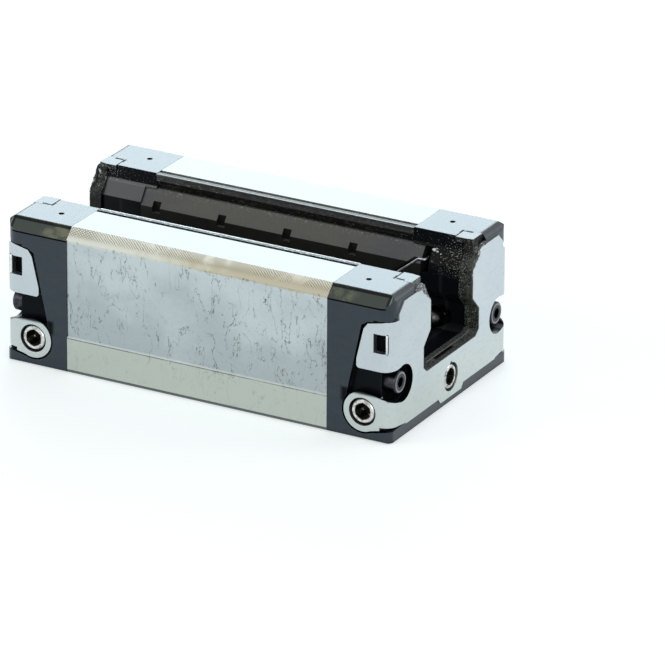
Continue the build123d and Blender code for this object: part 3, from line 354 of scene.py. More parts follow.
# Materials
def body_steel():
    """Ground steel with a pale hatched chamfer in a painted reflection of warm light from above, painted
    highlights on the step and edges, grease and painted shade in the channel, a warmer band below the step
    and thin dark marks.
    """
    g = Graph("body_steel")
    top = g.ramp(g.nz, 0.85, 0.95)
    side = g.ramp(g.absolute(g.ny), 0.85, 0.95)
    inner = g.without(g.ramp(g.absolute(g.y), CHANNEL_EDGE_Y, CHANNEL_EDGE_Y - 0.3), top)
    outer_side = g.without(side, inner)
    skin = g.rest(inner)
    ragged = g.add(g.z, g.times(g.noise(g.stretched(0.45, 0.45, 0.45), 4.0, 0.6), 1.3))
    beige = g.ramp(ragged, CHAMFER_FOOT_Z + 0.20, CHAMFER_FOOT_Z + 0.50)
    chamfer = g.without(beige, g.add(top, inner))
    low = g.both(outer_side, g.ramp(g.z, STEP_Z + 0.05, STEP_Z - 0.05))
    cloud = g.noise(g.stretched(0.06, 0.06, 0.09), 3.0)
    drift = g.noise(g.stretched(0.30, 0.30, 0.30), 4.0)
    fine = g.noise(g.stretched(1.8, 1.8, 1.8), 5.0, 0.7)
    grind = g.noise(g.stretched(0.15, 6.0, 6.0), 3.0)
    shade = g.add(cloud, g.times(g.add(g.z, -17.0), -0.014))
    color = g.mix(g.ramp(shade, 0.28, 0.72), STEEL_SIDE_LIGHT, STEEL_SIDE_DARK)
    color = g.mix(g.times(g.ramp(fine, 0.45, 0.75), 0.10), color, STEEL_INK)
    color = g.mix(low, color, STEEL_BAND)
    color = g.mix(top, color, STEEL_TOP)
    # Near black inside the channel: grease, and painted shade of the deep channel.
    color = g.mix(inner, color, STEEL_GREASE_AND_SHADE)
    # The chamfer's pale and warm tones, paler towards its top edge, are a painted reflection of warm light
    # from above.
    warm = g.ramp(g.add(g.times(g.x, 0.02), g.times(drift, 0.9)), 0.15, 0.62)
    chamfer_reflection_color = g.mix(warm, STEEL_CHAMFER_PALE_REFLECTION, STEEL_CHAMFER_WARM_REFLECTION)
    chamfer_reflection_color = g.mix(g.ramp(g.z, TOP_Z - 1.4, TOP_Z, 0.0, 0.6), chamfer_reflection_color, STEEL_RIM_HIGHLIGHT)
    color = g.mix(chamfer, color, chamfer_reflection_color)
    color = g.mix(g.both(chamfer, chamfer_hatch(g, drift), 0.74), color, STEEL_HATCH)
    # A thin dark line just below the step, broken up by noise.
    step_patchiness = g.ramp(g.noise(g.stretched(0.25, 0.25, 0.25), 3.0), 0.35, 0.60, 0.35, 0.75)
    step_line = g.both(skin, g.band(g.z, STEP_Z - 0.28, STEP_Z - 0.12, 0.04), step_patchiness)
    color = g.mix(step_line, color, STEEL_INK)
    # Painted highlight: a pale line along the step's edge.
    step_edge = g.both(g.without(skin, top), g.band(g.z, STEP_Z - 0.04, STEP_Z + 0.08, 0.04))
    color = g.mix(g.times(step_edge, 0.15), color, STEEL_CREAM_HIGHLIGHT)
    color = g.mix(g.both(top, g.ramp(g.z, STEP_Z + 1.5, STEP_Z + 0.5)), color, STEEL_LEDGE)
    foot = g.without(g.ramp(g.z, 0.86, 0.72), inner)
    color = g.mix(g.times(foot, 0.92), color, STEEL_SHADOW)
    color = g.mix(g.both(g.without(outer_side, foot), squiggles(g)), color, STEEL_INK)
    # Paler rounded edges: painted highlight, partly worn bright edges.
    edge, rounded = g.edges(0.10)
    bright_edge = g.both(edge, g.without(g.ramp(g.z, STEP_Z + 0.7, STEP_Z + 1.1), inner))
    color = g.mix(g.times(bright_edge, 0.25), color, STEEL_CREAM_HIGHLIGHT)
    roughness = g.add(g.times(grind, 0.12), g.blend(top, 0.34, 0.50))
    roughness = g.add(roughness, g.times(inner, 0.1))
    bump = g.bump(grind, 0.004, rounded)
    return g.finish(base_color=color, metallic=1.0, roughness=roughness, normal=bump)


def chamfer_hatch(g, drift):
    """Slanted tool marks on the upper half of the long chamfer, crossed near its left end."""
    slope = g.times(g.z, math.sqrt(2.0))
    wobble = g.times(g.noise(g.stretched(0.8, 0.8, 0.8), 2.0), 0.5)

    def strokes(run, rise, spacing):
        place = g.add(g.add(g.times(g.x, run), g.times(slope, rise)), wobble)
        wave = g.math("SINE", g.times(place, 2 * math.pi / spacing))
        return g.ramp(wave, -0.10, 0.70)

    fade = g.both(g.ramp(g.z, 28.2, 28.9), g.ramp(drift, 0.32, 0.46))
    lean = math.radians(38)
    down = strokes(math.sin(lean), math.cos(lean), 0.40)
    up = strokes(math.sin(lean), -math.cos(lean), 0.50)
    crossed = g.both(up, g.ramp(g.x, -21.0, -25.0))
    return g.both(g.most(down, crossed), fade)


def squiggles(g):
    """Thin dark meandering marks with small ticks across them, in patches on the long sides."""
    wander = g.noise(g.vector("ADD", g.stretched(0.33, 0.33, 0.12), WANDER_SHIFT), 4.0, 0.58, 0.30)
    coarse = g.noise(g.stretched(0.11, 0.11, 0.13), 2.0)
    patches = g.ramp(coarse, 0.46, 0.52)
    broken = g.ramp(g.noise(g.stretched(0.6, 0.6, 0.4), 3.0), 0.36, 0.46)
    thread = g.both(g.lines(wander, 0.0110), patches, broken)
    second = g.noise(g.vector("ADD", g.stretched(0.26, 0.26, 0.13), LOOP_SHIFT), 4.0, 0.55, 0.5)
    loops = g.both(g.lines(second, 0.0080), g.ramp(coarse, 0.47, 0.42), broken)
    near = g.lines(wander, 0.045)
    tick_noise = g.noise(g.stretched(0.5, 0.5, 3.4), 3.0, 0.6)
    ticks = g.both(g.lines(tick_noise, 0.022), near, patches, broken)
    dots = g.both(g.ramp(g.noise(g.stretched(2.2, 2.2, 2.2), 2.0), 0.70, 0.74), patches)
    upper = g.ramp(g.z, STEP_Z - 1.3, STEP_Z + 0.3, 0.30, 1.0)
    marks = g.most(thread, g.times(loops, 0.8), g.times(ticks, 0.55), dots)
    return g.both(marks, upper, 0.88)


def worn_patches(g, slope, ragged):
    """Pale worn patches on the long slope of the caps, most of them beside the steel."""
    reach = g.absolute(g.x)
    patchy = g.noise(g.stretched(0.55, 0.55, 0.55), 3.0, 0.5)
    beside_steel = g.blend(g.ramp(reach, 36.0, 31.5), 0.0, 0.95)
    spots = []
    for (x, z), (along, up) in WORN_SPOTS:
        spots.append(g.radius(g.times(g.add(reach, -x), along), g.times(g.add(g.z, -z), up)))
    distance = g.add(g.math("MINIMUM", *spots), g.times(g.add(ragged, -0.5), 2.4))
    spotted = g.both(slope, g.ramp(distance, 1.15, 0.45), g.ramp(patchy, 0.30, 0.60, 0.35, 0.9))
    return g.most(g.both(slope, g.ramp(patchy, 0.42, 0.66), beside_steel), spotted)


def cap_lines_and_shade(g, top, slope, ragged):
    """Dark lines along the slope and round the tabs of the caps, with painted shade in the gaps round the
    tabs and in the window and screw slot.
    """
    away = g.absolute(g.y)
    reach = g.absolute(g.x)
    outer_line = g.both(g.ramp(away, HALF_WIDTH - 0.5, HALF_WIDTH - 0.2), g.band(g.z, *CAP_LINE_Z, 0.06))
    top_line = g.both(slope, g.band(g.z, TOP_Z - 0.50, TOP_Z - 0.16, 0.10), 0.8)
    corner_line = g.both(slope, g.band(reach, *CAP_CORNER_X, 0.12), 0.7)
    frayed = g.times(g.add(ragged, -0.5), 0.5)
    tab_side = g.both(g.band(g.add(away, frayed), *TAB_SIDE_Y, 0.06), g.ramp(reach, 38.3, 38.6))
    tab_back = g.both(g.band(g.add(reach, frayed), *TAB_BACK_X, 0.06), g.band(away, 12.8, 14.3, 0.2))
    tab_gap_shade = g.both(top, g.most(tab_side, tab_back), 0.95)
    window_side = g.both(g.ramp(away, 18.0, 18.5), g.band(reach, *WINDOW_BACK_X, 0.1))
    window = g.both(window_side, g.band(g.z, WINDOW_Z[0] - 0.05, WINDOW_Z[1] + 0.05, 0.1))
    slot_foot = g.both(g.ramp(away, 16.0, 17.0), g.ramp(reach, 31.5, 32.5), g.band(g.z, 7.6, 9.7, 0.8))
    slot_radius = g.radius(g.add(away, -SLOT_Y), g.add(g.z, -SLOT_Z))
    slot_reach = g.both(g.band(away, 15.0, HALF_WIDTH - 0.2, 0.2), g.ramp(reach, 33.0, 34.0))
    slot = g.both(g.ramp(slot_radius, SLOT_RADIUS + 0.2, SLOT_RADIUS), slot_reach)
    slot_shade = g.times(g.most(slot_foot, slot), 0.92)
    return g.most(outer_line, top_line, corner_line, tab_gap_shade, window, slot_shade)


def cap_plastic():
    """Black moulded plastic: olive slopes partly in a painted reflection, blue tops in a painted sky
    reflection, painted shade in the gaps, and grease with painted shade inside the channel.
    """
    g = Graph("cap_plastic")
    away = g.absolute(g.y)
    reach = g.absolute(g.x)
    front_end = g.ramp(g.x, 25.0, 30.0)
    top = g.ramp(g.nz, 0.90, 0.96)
    high_top = g.times(top, g.ramp(g.z, TOP_Z - 3.0, TOP_Z - 2.0))
    inner = g.without(g.ramp(away, CAP_CHANNEL_Y, CAP_CHANNEL_Y - 0.3), high_top)
    inner = g.both(inner, g.ramp(g.z, CAP_FLOOR_Z, CAP_FLOOR_Z + 0.4))
    slanted = g.without(g.ramp(g.nz, 0.25, 0.45), top)
    endwise = g.ramp(g.absolute(g.nx), 0.30, 0.50)
    outward = g.both(g.ramp(away, CAP_SLOPE_Y, CAP_SLOPE_Y + 0.4), g.without(slanted, endwise))
    outer_slope = g.times(outward, g.ramp(g.z, CAP_SLOPE_FOOT_Z, CAP_SLOPE_FOOT_Z + 0.3))
    end_slope = g.both(g.without(slanted, inner), endwise, g.ramp(g.z, 26.5, 27.2))
    inner_slope = g.both(inner, slanted, g.ramp(g.z, WAIST_Z - 0.5, WAIST_Z - 0.1))
    smear = g.noise(g.stretched(0.22, 0.5, 0.5), 4.0)
    grain = g.noise(g.stretched(6.0, 6.0, 6.0), 2.0)
    lumps = g.noise(g.stretched(1.4, 1.4, 1.4), 6.0, 0.7)
    ragged = g.noise(g.stretched(1.1, 1.1, 1.1), 4.0, 0.6)

    color = g.mix(g.times(g.ramp(smear, 0.40, 0.70), 0.25), PLASTIC_BLACK, PLASTIC_OLIVE_TONE_AND_REFLECTION)
    # Olive outer slopes: the plastic's own tone with a painted reflection of warm light from above.
    color = g.mix(outer_slope, color, PLASTIC_OLIVE_TONE_AND_REFLECTION)
    color = g.mix(end_slope, color, PLASTIC_END_SLOPE)
    color = g.mix(worn_patches(g, outer_slope, ragged), color, PLASTIC_SMEAR)
    # Dark lines along the slope, and painted shade in the gaps, window and screw slot.
    dark = cap_lines_and_shade(g, top, outer_slope, ragged)
    color = g.mix(dark, color, PLASTIC_LINE_AND_SHADE)
    # Painted sky reflection on the open tops.
    color = g.mix(g.without(g.without(top, inner), dark), color, PLASTIC_SKY_REFLECTION)
    # Painted highlight along the front corner of the slope.
    shine = g.both(outer_slope, g.band(reach, *CAP_CORNER_SHINE_X, 0.06), 0.8)
    color = g.mix(shine, color, PLASTIC_SHINE)
    # Near black inside the channel: grease, and painted shade of the deep channel.
    color = g.mix(inner, color, PLASTIC_INSIDE_GREASE_AND_SHADE)
    color = g.mix(inner_slope, color, g.mix(front_end, PLASTIC_SLATE, GREASE_BLACK))
    streak = g.both(inner, g.band(reach, *CAP_STREAK_X, 0.2), g.ramp(g.z, 24.0, 23.5))
    color = g.mix(streak, color, PLASTIC_STREAK)
    speckle = g.add(g.noise(g.stretched(3.2, 3.2, 3.2), 3.0), g.ramp(reach, 33.0, 40.0, -0.02, 0.06))
    specks = g.ramp(speckle, 0.62, 0.69)
    greasy = g.both(inner, g.ramp(g.z, 21.5, 23.5), g.most(front_end, g.ramp(g.z, 26.6, 27.2)))
    color = g.mix(g.both(greasy, specks), color, GREASE_GLINT)
    open_air = g.ramp(g.openness(1.6), 0.25, 0.80)
    # Painted highlight along the rounded edges in the open.
    edge, rounded = g.edges(0.18)
    color = g.mix(g.both(edge, g.without(open_air, inner), 0.22), color, PLASTIC_EDGE_HIGHLIGHT)
    # Painted shade in gaps and hollows, from ambient occlusion.
    color = g.mix(open_air, PLASTIC_LINE_AND_SHADE, color)

    scuff_line = g.lines(g.noise(g.stretched(0.7, 0.7, 0.7), 3.0, 0.6, 0.8), 0.006)
    scuff = g.both(top, scuff_line, g.ramp(smear, 0.45, 0.6))
    dull = g.without(inner, g.most(g.without(inner_slope, front_end), g.times(specks, greasy)))
    level = g.both(g.blend(open_air, 0.04, 0.5), g.blend(dull, 1.0, 0.14))
    level = g.both(level, g.blend(scuff, 1.0, 0.35), g.blend(dark, 1.0, 0.04))
    polish = g.blend(greasy, g.blend(top, 0.20, 0.25), 0.12)
    roughness = g.add(g.times(g.without(smear, top), 0.10), polish)
    height = g.add(g.times(g.without(grain, top), 0.03), g.both(lumps, greasy))
    bump = g.bump(height, 0.22, rounded)
    return g.finish(base_color=color, roughness=roughness, specular_ior_level=level, normal=bump)


def catch_steel():
    """Bright rounded catch with a painted shadow line round its outer edge and its ends."""
    g = Graph("catch_steel")
    film = g.noise(g.stretched(1.5, 1.5, 1.5), 4.0)
    reach = g.absolute(g.x)
    # Painted shadow line round the outer edge and the ends.
    outer_shade = g.ramp(reach, WINDOW_X + 0.14, WINDOW_X + 0.22)
    upper_shade = g.ramp(g.z, WINDOW_Z[1] - 0.3, WINDOW_Z[1] - 0.1)
    lower_shade = g.ramp(g.z, WINDOW_Z[0] + 0.3, WINDOW_Z[0] + 0.1)
    catch_shade = g.most(outer_shade, upper_shade, lower_shade)
    color = g.mix(g.ramp(film, 0.45, 0.70), CATCH_LIGHT, CATCH_DARK)
    color = g.mix(catch_shade, color, CATCH_SHADOW_LINE)
    rough = g.add(g.times(film, 0.1), 0.25)
    return g.finish(base_color=color, metallic=1.0, roughness=rough, normal=g.bump(film, 0.02))


def tube_plastic():
    """Pale moulded plastic of the return tubes and guides."""
    g = Graph("tube_plastic")
    smear = g.noise(g.stretched(0.22, 0.5, 0.5), 4.0)
    grain = g.noise(g.stretched(6.0, 6.0, 6.0), 2.0)
    color = g.mix(g.ramp(smear, 0.35, 0.65), TUBE_PALE, TUBE_TINT)
    rough = g.add(g.times(smear, 0.12), 0.30)
    return g.finish(base_color=color, roughness=rough, normal=g.bump(grain, 0.006))


def plate_steel():
    """Brushed sheet with faint clouds and scratches and a painted highlight on its edges, black where it
    is cut round the screws from grime and painted shade.
    """
    g = Graph("plate_steel")
    cloud = g.noise(g.stretched(0.12, 0.12, 0.12), 3.0)
    fine = g.noise(g.stretched(1.6, 0.5, 1.6), 5.0, 0.6)
    color = g.mix(g.ramp(cloud, 0.35, 0.65), SHEET_LIGHT, SHEET_DARK)
    color = g.mix(g.ramp(g.z, 13.0, 5.0), color, SHEET_LOW)
    color = g.mix(g.ramp(g.y, 14.0, -14.0, -0.06, 0.10), color, STEEL_INK)
    color = g.mix(g.times(g.ramp(fine, 0.52, 0.70), 0.10), color, STEEL_INK)
    scratch = g.lines(g.noise(g.stretched(0.35, 0.35, 0.9), 3.0, 0.6, 0.6), 0.0035)
    color = g.mix(g.both(scratch, g.ramp(fine, 0.45, 0.55), 0.35), color, STEEL_INK)
    # Painted highlight along the rounded edges.
    edge, rounded = g.edges(0.10)
    color = g.mix(g.times(edge, 0.35), color, SHEET_EDGE_HIGHLIGHT)
    # Painted shade and grime on the cut edge round the screws.
    screw = g.radius(g.add(g.absolute(g.y), -SCREW_Y), g.add(g.z, -SCREW_Z))
    near_screw = g.ramp(screw, SCREW_CUT_RADIUS + 0.3, SCREW_CUT_RADIUS)
    cut = g.both(near_screw, g.ramp(g.absolute(g.nx), 0.7, 0.5))
    color = g.mix(cut, color, SHEET_CUT_SHADE_AND_GRIME)
    rough = g.add(g.times(fine, 0.10), 0.34)
    return g.finish(base_color=color, metallic=1.0, roughness=rough, normal=g.bump(fine, 0.004, rounded))


def greased(g, tab):
    """Colour, roughness and height of rubber under grease, apart from its tabs, which are clean and carry
    a painted sky reflection on top.
    """
    lumps = g.noise(g.stretched(1.5, 1.5, 1.5), 6.0, 0.72)
    veil = g.noise(g.stretched(0.8, 0.8, 0.8), 3.0)
    speckle = g.add(g.noise(g.stretched(5.0, 5.0, 5.0), 3.0, 0.6), g.ramp(veil, 0.3, 0.7, -0.04, 0.05))
    specks = g.ramp(speckle, 0.55, 0.66)
    wet = g.most(g.ramp(g.x, 0.0, 1.0), g.ramp(g.z, 23.0, 25.5))
    specks = g.times(specks, wet)
    color = g.mix(g.times(g.ramp(lumps, 0.42, 0.62), wet), GREASE_BLACK, GREASE_OLIVE)
    color = g.mix(specks, color, GREASE_GLINT)
    # Painted sky reflection on the tab tops.
    color = g.mix(tab, color, PLASTIC_SKY_REFLECTION)
    roughness = g.blend(tab, g.ramp(lumps, 0.3, 0.7, 0.14, 0.5), 0.24)
    level = g.blend(g.most(tab, specks), 0.14, 0.5)
    return color, roughness, level, g.without(lumps, tab)


def end_seal_rubber():
    """Greasy rubber of the end seals, speckled on the channel floor and creased at the near corner."""
    g = Graph("end_seal_rubber")
    tab = g.both(g.ramp(g.nz, 0.90, 0.96), g.ramp(g.z, TOP_Z - 0.7, TOP_Z - 0.4))
    color, roughness, level, height = greased(g, tab)
    front = g.ramp(g.x, 0.0, 1.0)
    floor = g.both(g.ramp(g.z, CAP_FLOOR_Z + 3.1, CAP_FLOOR_Z + 2.1), g.ramp(g.nz, 0.4, 0.6), front)
    fine = g.noise(g.stretched(3.4, 3.4, 3.4), 5.0, 0.75)
    speckled = g.mix(g.ramp(fine, 0.44, 0.62), SEAL_FLOOR_DARK, SEAL_FLOOR_LIGHT)
    color = g.mix(g.times(floor, 0.85), color, speckled)
    patch = g.both(floor, g.band(g.x, *SEAL_PATCH_X, 0.08), g.band(g.y, *SEAL_PATCH_Y, 0.5))
    level = g.times(level, g.blend(patch, 1.0, 0.05))
    color = g.mix(patch, color, GREASE_BLACK)
    line = g.both(floor, g.band(g.x, *SEAL_LINE_X, 0.05), g.band(g.y, *SEAL_LINE_Y, 1.0))
    color = g.mix(line, color, SEAL_LINE)
    streaky = g.noise(g.stretched(1.2, 2.8, 0.35), 4.0, 0.65)
    near_plate = g.both(g.ramp(g.x, 41.6, 42.2), g.ramp(g.z, 14.0, 17.0), g.ramp(streaky, 0.42, 0.58))
    color = g.mix(g.times(near_plate, 0.75), color, SEAL_OLIVE)
    corner = g.both(front, g.ramp(g.y, SEAL_CORNER_Y, SEAL_CORNER_Y - 1.0), g.ramp(fine, 0.40, 0.52))
    corner = g.times(corner, g.ramp(g.z, SEAL_CORNER_Z, SEAL_CORNER_Z + 1.0))
    color = g.mix(g.without(g.times(corner, 0.8), tab), color, SEAL_CORNER)
    # Painted highlight along the rounded top edges.
    edge, rounded = g.edges(0.12)
    color = g.mix(g.both(edge, g.ramp(g.z, TOP_Z - 1.5, TOP_Z - 1.0), 0.35), color, SEAL_EDGE_HIGHLIGHT)
    bump = g.bump(height, 0.30, rounded)
    return g.finish(base_color=color, roughness=roughness, specular_ior_level=level, normal=bump)


def lip_grease():
    """Creased grease and rubber over the plate's edge, paler on the near side, with painted shade along
    the creases.
    """
    g = Graph("lip_grease")
    lumps = g.noise(g.stretched(1.8, 1.8, 1.8), 6.0, 0.75)
    streaks = g.noise(g.stretched(2.4, 1.2, 1.2), 4.0, 0.6, 1.0)
    near = g.ramp(g.y, 0.0, -4.0)
    film = g.mix(near, GREASE_OLIVE, LIP_FILM)
    color = g.mix(g.ramp(lumps, 0.44, 0.60), LIP_DARK, film)
    color = g.mix(g.ramp(streaks, 0.56, 0.64), color, LIP_STREAK)
    # Painted shade along the creases.
    fold_shade = g.lines(g.noise(g.stretched(1.5, 0.8, 0.8), 3.0, 0.6, 1.2), 0.035)
    color = g.mix(g.times(fold_shade, 0.85), color, LIP_FOLD_SHADE)
    rough = g.ramp(lumps, 0.3, 0.7, 0.12, 0.45)
    return g.finish(base_color=color, roughness=rough, normal=g.bump(lumps, 0.20))


def glint_grease_drop():
    """Pale glossy grease, its pale colour a painted glint."""
    g = Graph("glint_grease_drop")
    film = g.noise(g.stretched(2.5, 2.5, 2.5), 3.0)
    # Pale colour as a painted glint.
    color = g.mix(g.ramp(film, 0.40, 0.65), DROP_GLINT_LIGHT, DROP_GLINT_DIM)
    return g.finish(base_color=color, roughness=g.add(g.times(film, 0.1), 0.05), normal=g.bump(film, 0.03))


def retainer_plastic():
    """Greased plastic of the ball retainers, brown in the middle and slate at the ends, with painted shade
    on its steep walls.
    """
    g = Graph("retainer_plastic")
    smear = g.noise(g.stretched(0.18, 0.9, 0.9), 5.0)
    spots = g.noise(g.stretched(1.2, 1.2, 1.2), 4.0)
    face = g.ramp(g.nz, 0.25, 0.45)
    ends = g.ramp(g.absolute(g.add(g.x, -BAND_MIDDLE_X)), 15.0, 30.0)
    color = g.mix(ends, BAND_BROWN, BAND_SLATE)
    color = g.mix(g.times(g.ramp(smear, 0.40, 0.68), 0.45), color, BAND_SMEAR)
    color = g.mix(g.times(g.ramp(spots, 0.62, 0.72), 0.5), color, BAND_SPOT)
    flecks = g.ramp(g.noise(g.stretched(3.0, 3.0, 3.0), 3.0), 0.58, 0.66)
    rim = g.both(face, g.ramp(g.z, BAND_RIM_Z, BAND_RIM_Z + 1.0), flecks)
    color = g.mix(rim, color, GREASE_GLINT)
    # Painted shade on the steep walls.
    color = g.mix(face, BAND_WALL_SHADE, color)
    level = g.blend(face, 0.15, 0.42)
    roughness = g.ramp(spots, 0.3, 0.7, 0.30, 0.5)
    bump = g.bump(g.times(spots, face), 0.05)
    return g.finish(base_color=color, roughness=roughness, specular_ior_level=level, normal=bump)


def strip_steel():
    """Thin metal strip of the side seals, mostly under grime."""
    g = Graph("strip_steel")
    grime = g.noise(g.stretched(1.0, 2.4, 2.4), 5.0, 0.7)
    inner_line = g.ramp(g.absolute(g.y), STRIP_EDGE_Y, STRIP_EDGE_Y - 0.1)
    far = g.ramp(g.y, 0.0, 1.0)
    dirty = g.ramp(grime, g.blend(far, 0.34, 0.26), 0.46)
    dirty = g.without(dirty, g.times(inner_line, 0.7))
    color = g.mix(dirty, g.mix(far, STRIP_NEAR, STRIP_FAR), STRIP_GRIME)
    return g.finish(base_color=color, metallic=0.9, roughness=0.36, normal=g.bump(grime, 0.04))


def bright_steel(name, color, roughness):
    """Polished steel with a thin uneven film of oil."""
    g = Graph(name)
    film = g.noise(g.stretched(0.9, 0.9, 0.9), 4.0)
    tone = g.mix(g.ramp(film, 0.45, 0.7), color, tuple(0.55 * c for c in color))
    rough = g.add(g.times(film, 0.12), roughness)
    return g.finish(base_color=tone, metallic=1.0, roughness=rough, normal=g.bump(film, 0.01))


def plug_steel():
    """Bright plug with painted shade in its socket and round its rim, worn on the front one."""
    g = Graph("plug_steel")
    side_plug = g.ramp(g.absolute(g.y), 15.0, 16.0)
    side_radius = g.radius(g.add(g.absolute(g.x), -PORT_X), g.add(g.z, -PORT_Z))
    front_radius = g.radius(g.y, g.add(g.z, -FRONT_PORT_Z))
    radius = g.blend(side_plug, front_radius, side_radius)
    film = g.noise(g.stretched(1.4, 1.4, 1.4), 4.0)
    color = g.mix(g.ramp(film, 0.40, 0.66), PLUG_LIGHT, PLUG_DULL)
    worn = g.ramp(g.noise(g.stretched(0.8, 0.8, 0.8), 4.0, 0.65, 0.6), 0.50, 0.58)
    color = g.mix(g.without(g.times(worn, 0.85), side_plug), color, PLUG_WORN)
    # Painted shade in the socket and round the rim.
    socket = g.ramp(radius, SOCKET_RADIUS + 0.10, SOCKET_RADIUS - 0.10)
    color = g.mix(socket, color, PLUG_SOCKET_SHADE)
    color = g.mix(g.band(radius, PLUG_RADIUS - 0.20, PLUG_RADIUS + 0.5, 0.05), color, PLUG_RIM_SHADE)
    rough = g.blend(socket, g.add(g.times(film, 0.15), 0.14), 0.5)
    _, rounded = g.edges(0.10)
    return g.finish(base_color=color, metallic=1.0, roughness=rough, normal=g.bump(film, 0.01, rounded))


def screw_steel():
    """Black screw with a paler ring round its socket, painted shade in the socket and a painted highlight
    on its edges.
    """
    g = Graph("screw_steel")
    radius = g.radius(g.add(g.absolute(g.y), -SCREW_Y), g.add(g.z, -SCREW_Z))
    film = g.noise(g.stretched(1.4, 1.4, 1.4), 4.0)
    face = g.ramp(g.absolute(g.nx), 0.85, 0.95)
    color = g.mix(g.ramp(film, 0.42, 0.66), SCREW_DARK, SCREW_LIGHT)
    ring = g.both(face, g.band(radius, *SCREW_HEAD_RING, 0.10))
    color = g.mix(ring, color, SCREW_RING)
    # Painted shade in the socket.
    socket = g.ramp(radius, SCREW_SOCKET_RADIUS, SCREW_SOCKET_RADIUS - 0.15)
    color = g.mix(socket, color, SCREW_SOCKET_SHADE)
    # Painted highlight along the rounded edges.
    edge, rounded = g.edges(0.15)
    color = g.mix(g.times(edge, 0.25), color, SCREW_EDGE_HIGHLIGHT)
    return g.finish(base_color=color, metallic=1.0, roughness=0.34, normal=g.bump(film, 0.01, rounded))


def seal_rubber():
    """Black rubber of the side seals with grime and small glints."""
    g = Graph("seal_rubber")
    grime = g.noise(g.stretched(0.6, 2.0, 2.0), 5.0, 0.6)
    glint = g.ramp(g.noise(g.stretched(1.6, 4.0, 4.0), 3.0), 0.62, 0.70)
    color = g.mix(g.ramp(grime, 0.5, 0.7), GREASE_BLACK, SEAL_GRIME)
    color = g.mix(glint, color, SEAL_GLINT)
    rough = g.ramp(grime, 0.3, 0.7, 0.22, 0.6)
    return g.finish(base_color=color, roughness=rough, specular_ior_level=0.25, normal=g.bump(grime, 0.10))


def make_materials():
    """Materials by the name of the slot that they fill."""
    return {
        "body_steel": body_steel(),
        # Dark raceways and balls: grease, and painted shade of the deep channel.
        "raceway_steel": bright_steel("raceway_steel", RACEWAY_GREASE_AND_SHADE, 0.30),
        "ball_steel": bright_steel("ball_steel", BALL_GREASE_AND_SHADE, 0.20),
        "cap_plastic": cap_plastic(),
        "retainer_plastic": retainer_plastic(),
        "tube_plastic": tube_plastic(),
        "seal_rubber": seal_rubber(),
        "end_seal_rubber": end_seal_rubber(),
        "lip_grease": lip_grease(),
        "glint_grease_drop": glint_grease_drop(),
        "plate_steel": plate_steel(),
        "catch_steel": catch_steel(),
        "strip_steel": strip_steel(),
        "spring_wire": bright_steel("spring_wire", WIRE_GREY, 0.34),
        "screw_steel": screw_steel(),
        "plug_steel": plug_steel(),
    }


def assign(obj, material):
    obj.data.materials.clear()
    obj.data.materials.append(material)


# Pieces that stay with the scene
def add_piece(name, mesh, material):
    """Puts a mesh in the scene as a visible piece of the one body."""
    piece = bpy.data.objects.new(name, mesh)
    bpy.context.scene.collection.objects.link(piece)
    assign(piece, material)
    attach(piece, "root")
    return piece


def swept(mesh, path, profile_of):
    """Adds a closed profile carried along a path, with its ends filled; points are in millimetres."""
    rings = []
    for index, point in enumerate(path):
        before = path[max(index - 1, 0)]
        after = path[min(index + 1, len(path) - 1)]
        forward = (after - before).normalized()
        rings.append([mesh.verts.new(p * MM) for p in profile_of(index, point, forward)])
    for first, second in zip(rings, rings[1:]):
        count = len(first)
        for k in range(count):
            mesh.faces.new((first[k], first[(k + 1) % count], second[(k + 1) % count], second[k]))
    mesh.faces.new(list(reversed(rings[0])))
    mesh.faces.new(rings[-1])


def finished_mesh(name, mesh, smooth=True):
    """Mesh data of a bmesh, with its faces turned outward."""
    bmesh.ops.recalc_face_normals(mesh, faces=mesh.faces)
    data = bpy.data.meshes.new(name)
    mesh.to_mesh(data)
    mesh.free()
    data.polygons.foreach_set("use_smooth", [smooth] * len(data.polygons))
    return data


def deck_hole_threads():
    """Thread ridges inside the four mounting holes."""
    mesh = bmesh.new()
    turns = (DECK_HOLE_DEPTH - THREAD_END_GAP) / THREAD_PITCH
    for sx in (-1, 1):
        for sy in (-1, 1):
            centre = Vector((sx * DECK_HOLE_X, sy * DECK_HOLE_Y, 0.0))
            path = []
            for k in range(int(turns * THREAD_STEPS) + 1):
                angle = 2 * math.pi * k / THREAD_STEPS
                reach = Vector((math.cos(angle), math.sin(angle), 0.0)) * DECK_HOLE_RADIUS
                rise = Vector((0, 0, THREAD_START + THREAD_PITCH * k / THREAD_STEPS))
                path.append(centre + reach + rise)

            def ridge(index, point, forward, centre=centre):
                outward = Vector((point.x - centre.x, point.y - centre.y, 0.0)).normalized()
                crest = point - outward * THREAD_HEIGHT
                root = point + outward * THREAD_ROOT
                foot = Vector((0, 0, THREAD_PITCH * THREAD_FOOT_SHARE))
                flat = Vector((0, 0, THREAD_PITCH * THREAD_CREST_SHARE))
                return (root - foot, crest - flat, crest + flat, root + foot)

            swept(mesh, path, ridge)
    return finished_mesh("deck_hole_threads", mesh, smooth=False)


def reach_surface(node, start, direction):
    """Point where a ray first meets a CAD node, in millimetres."""
    hit, place, _, _ = frame["nodes"][node].ray_cast(Vector(start) * MM, Vector(direction))
    return place / MM if hit else None


def plate_node(sx):
    return "front_end_plate" if sx > 0 else "rear_end_plate"


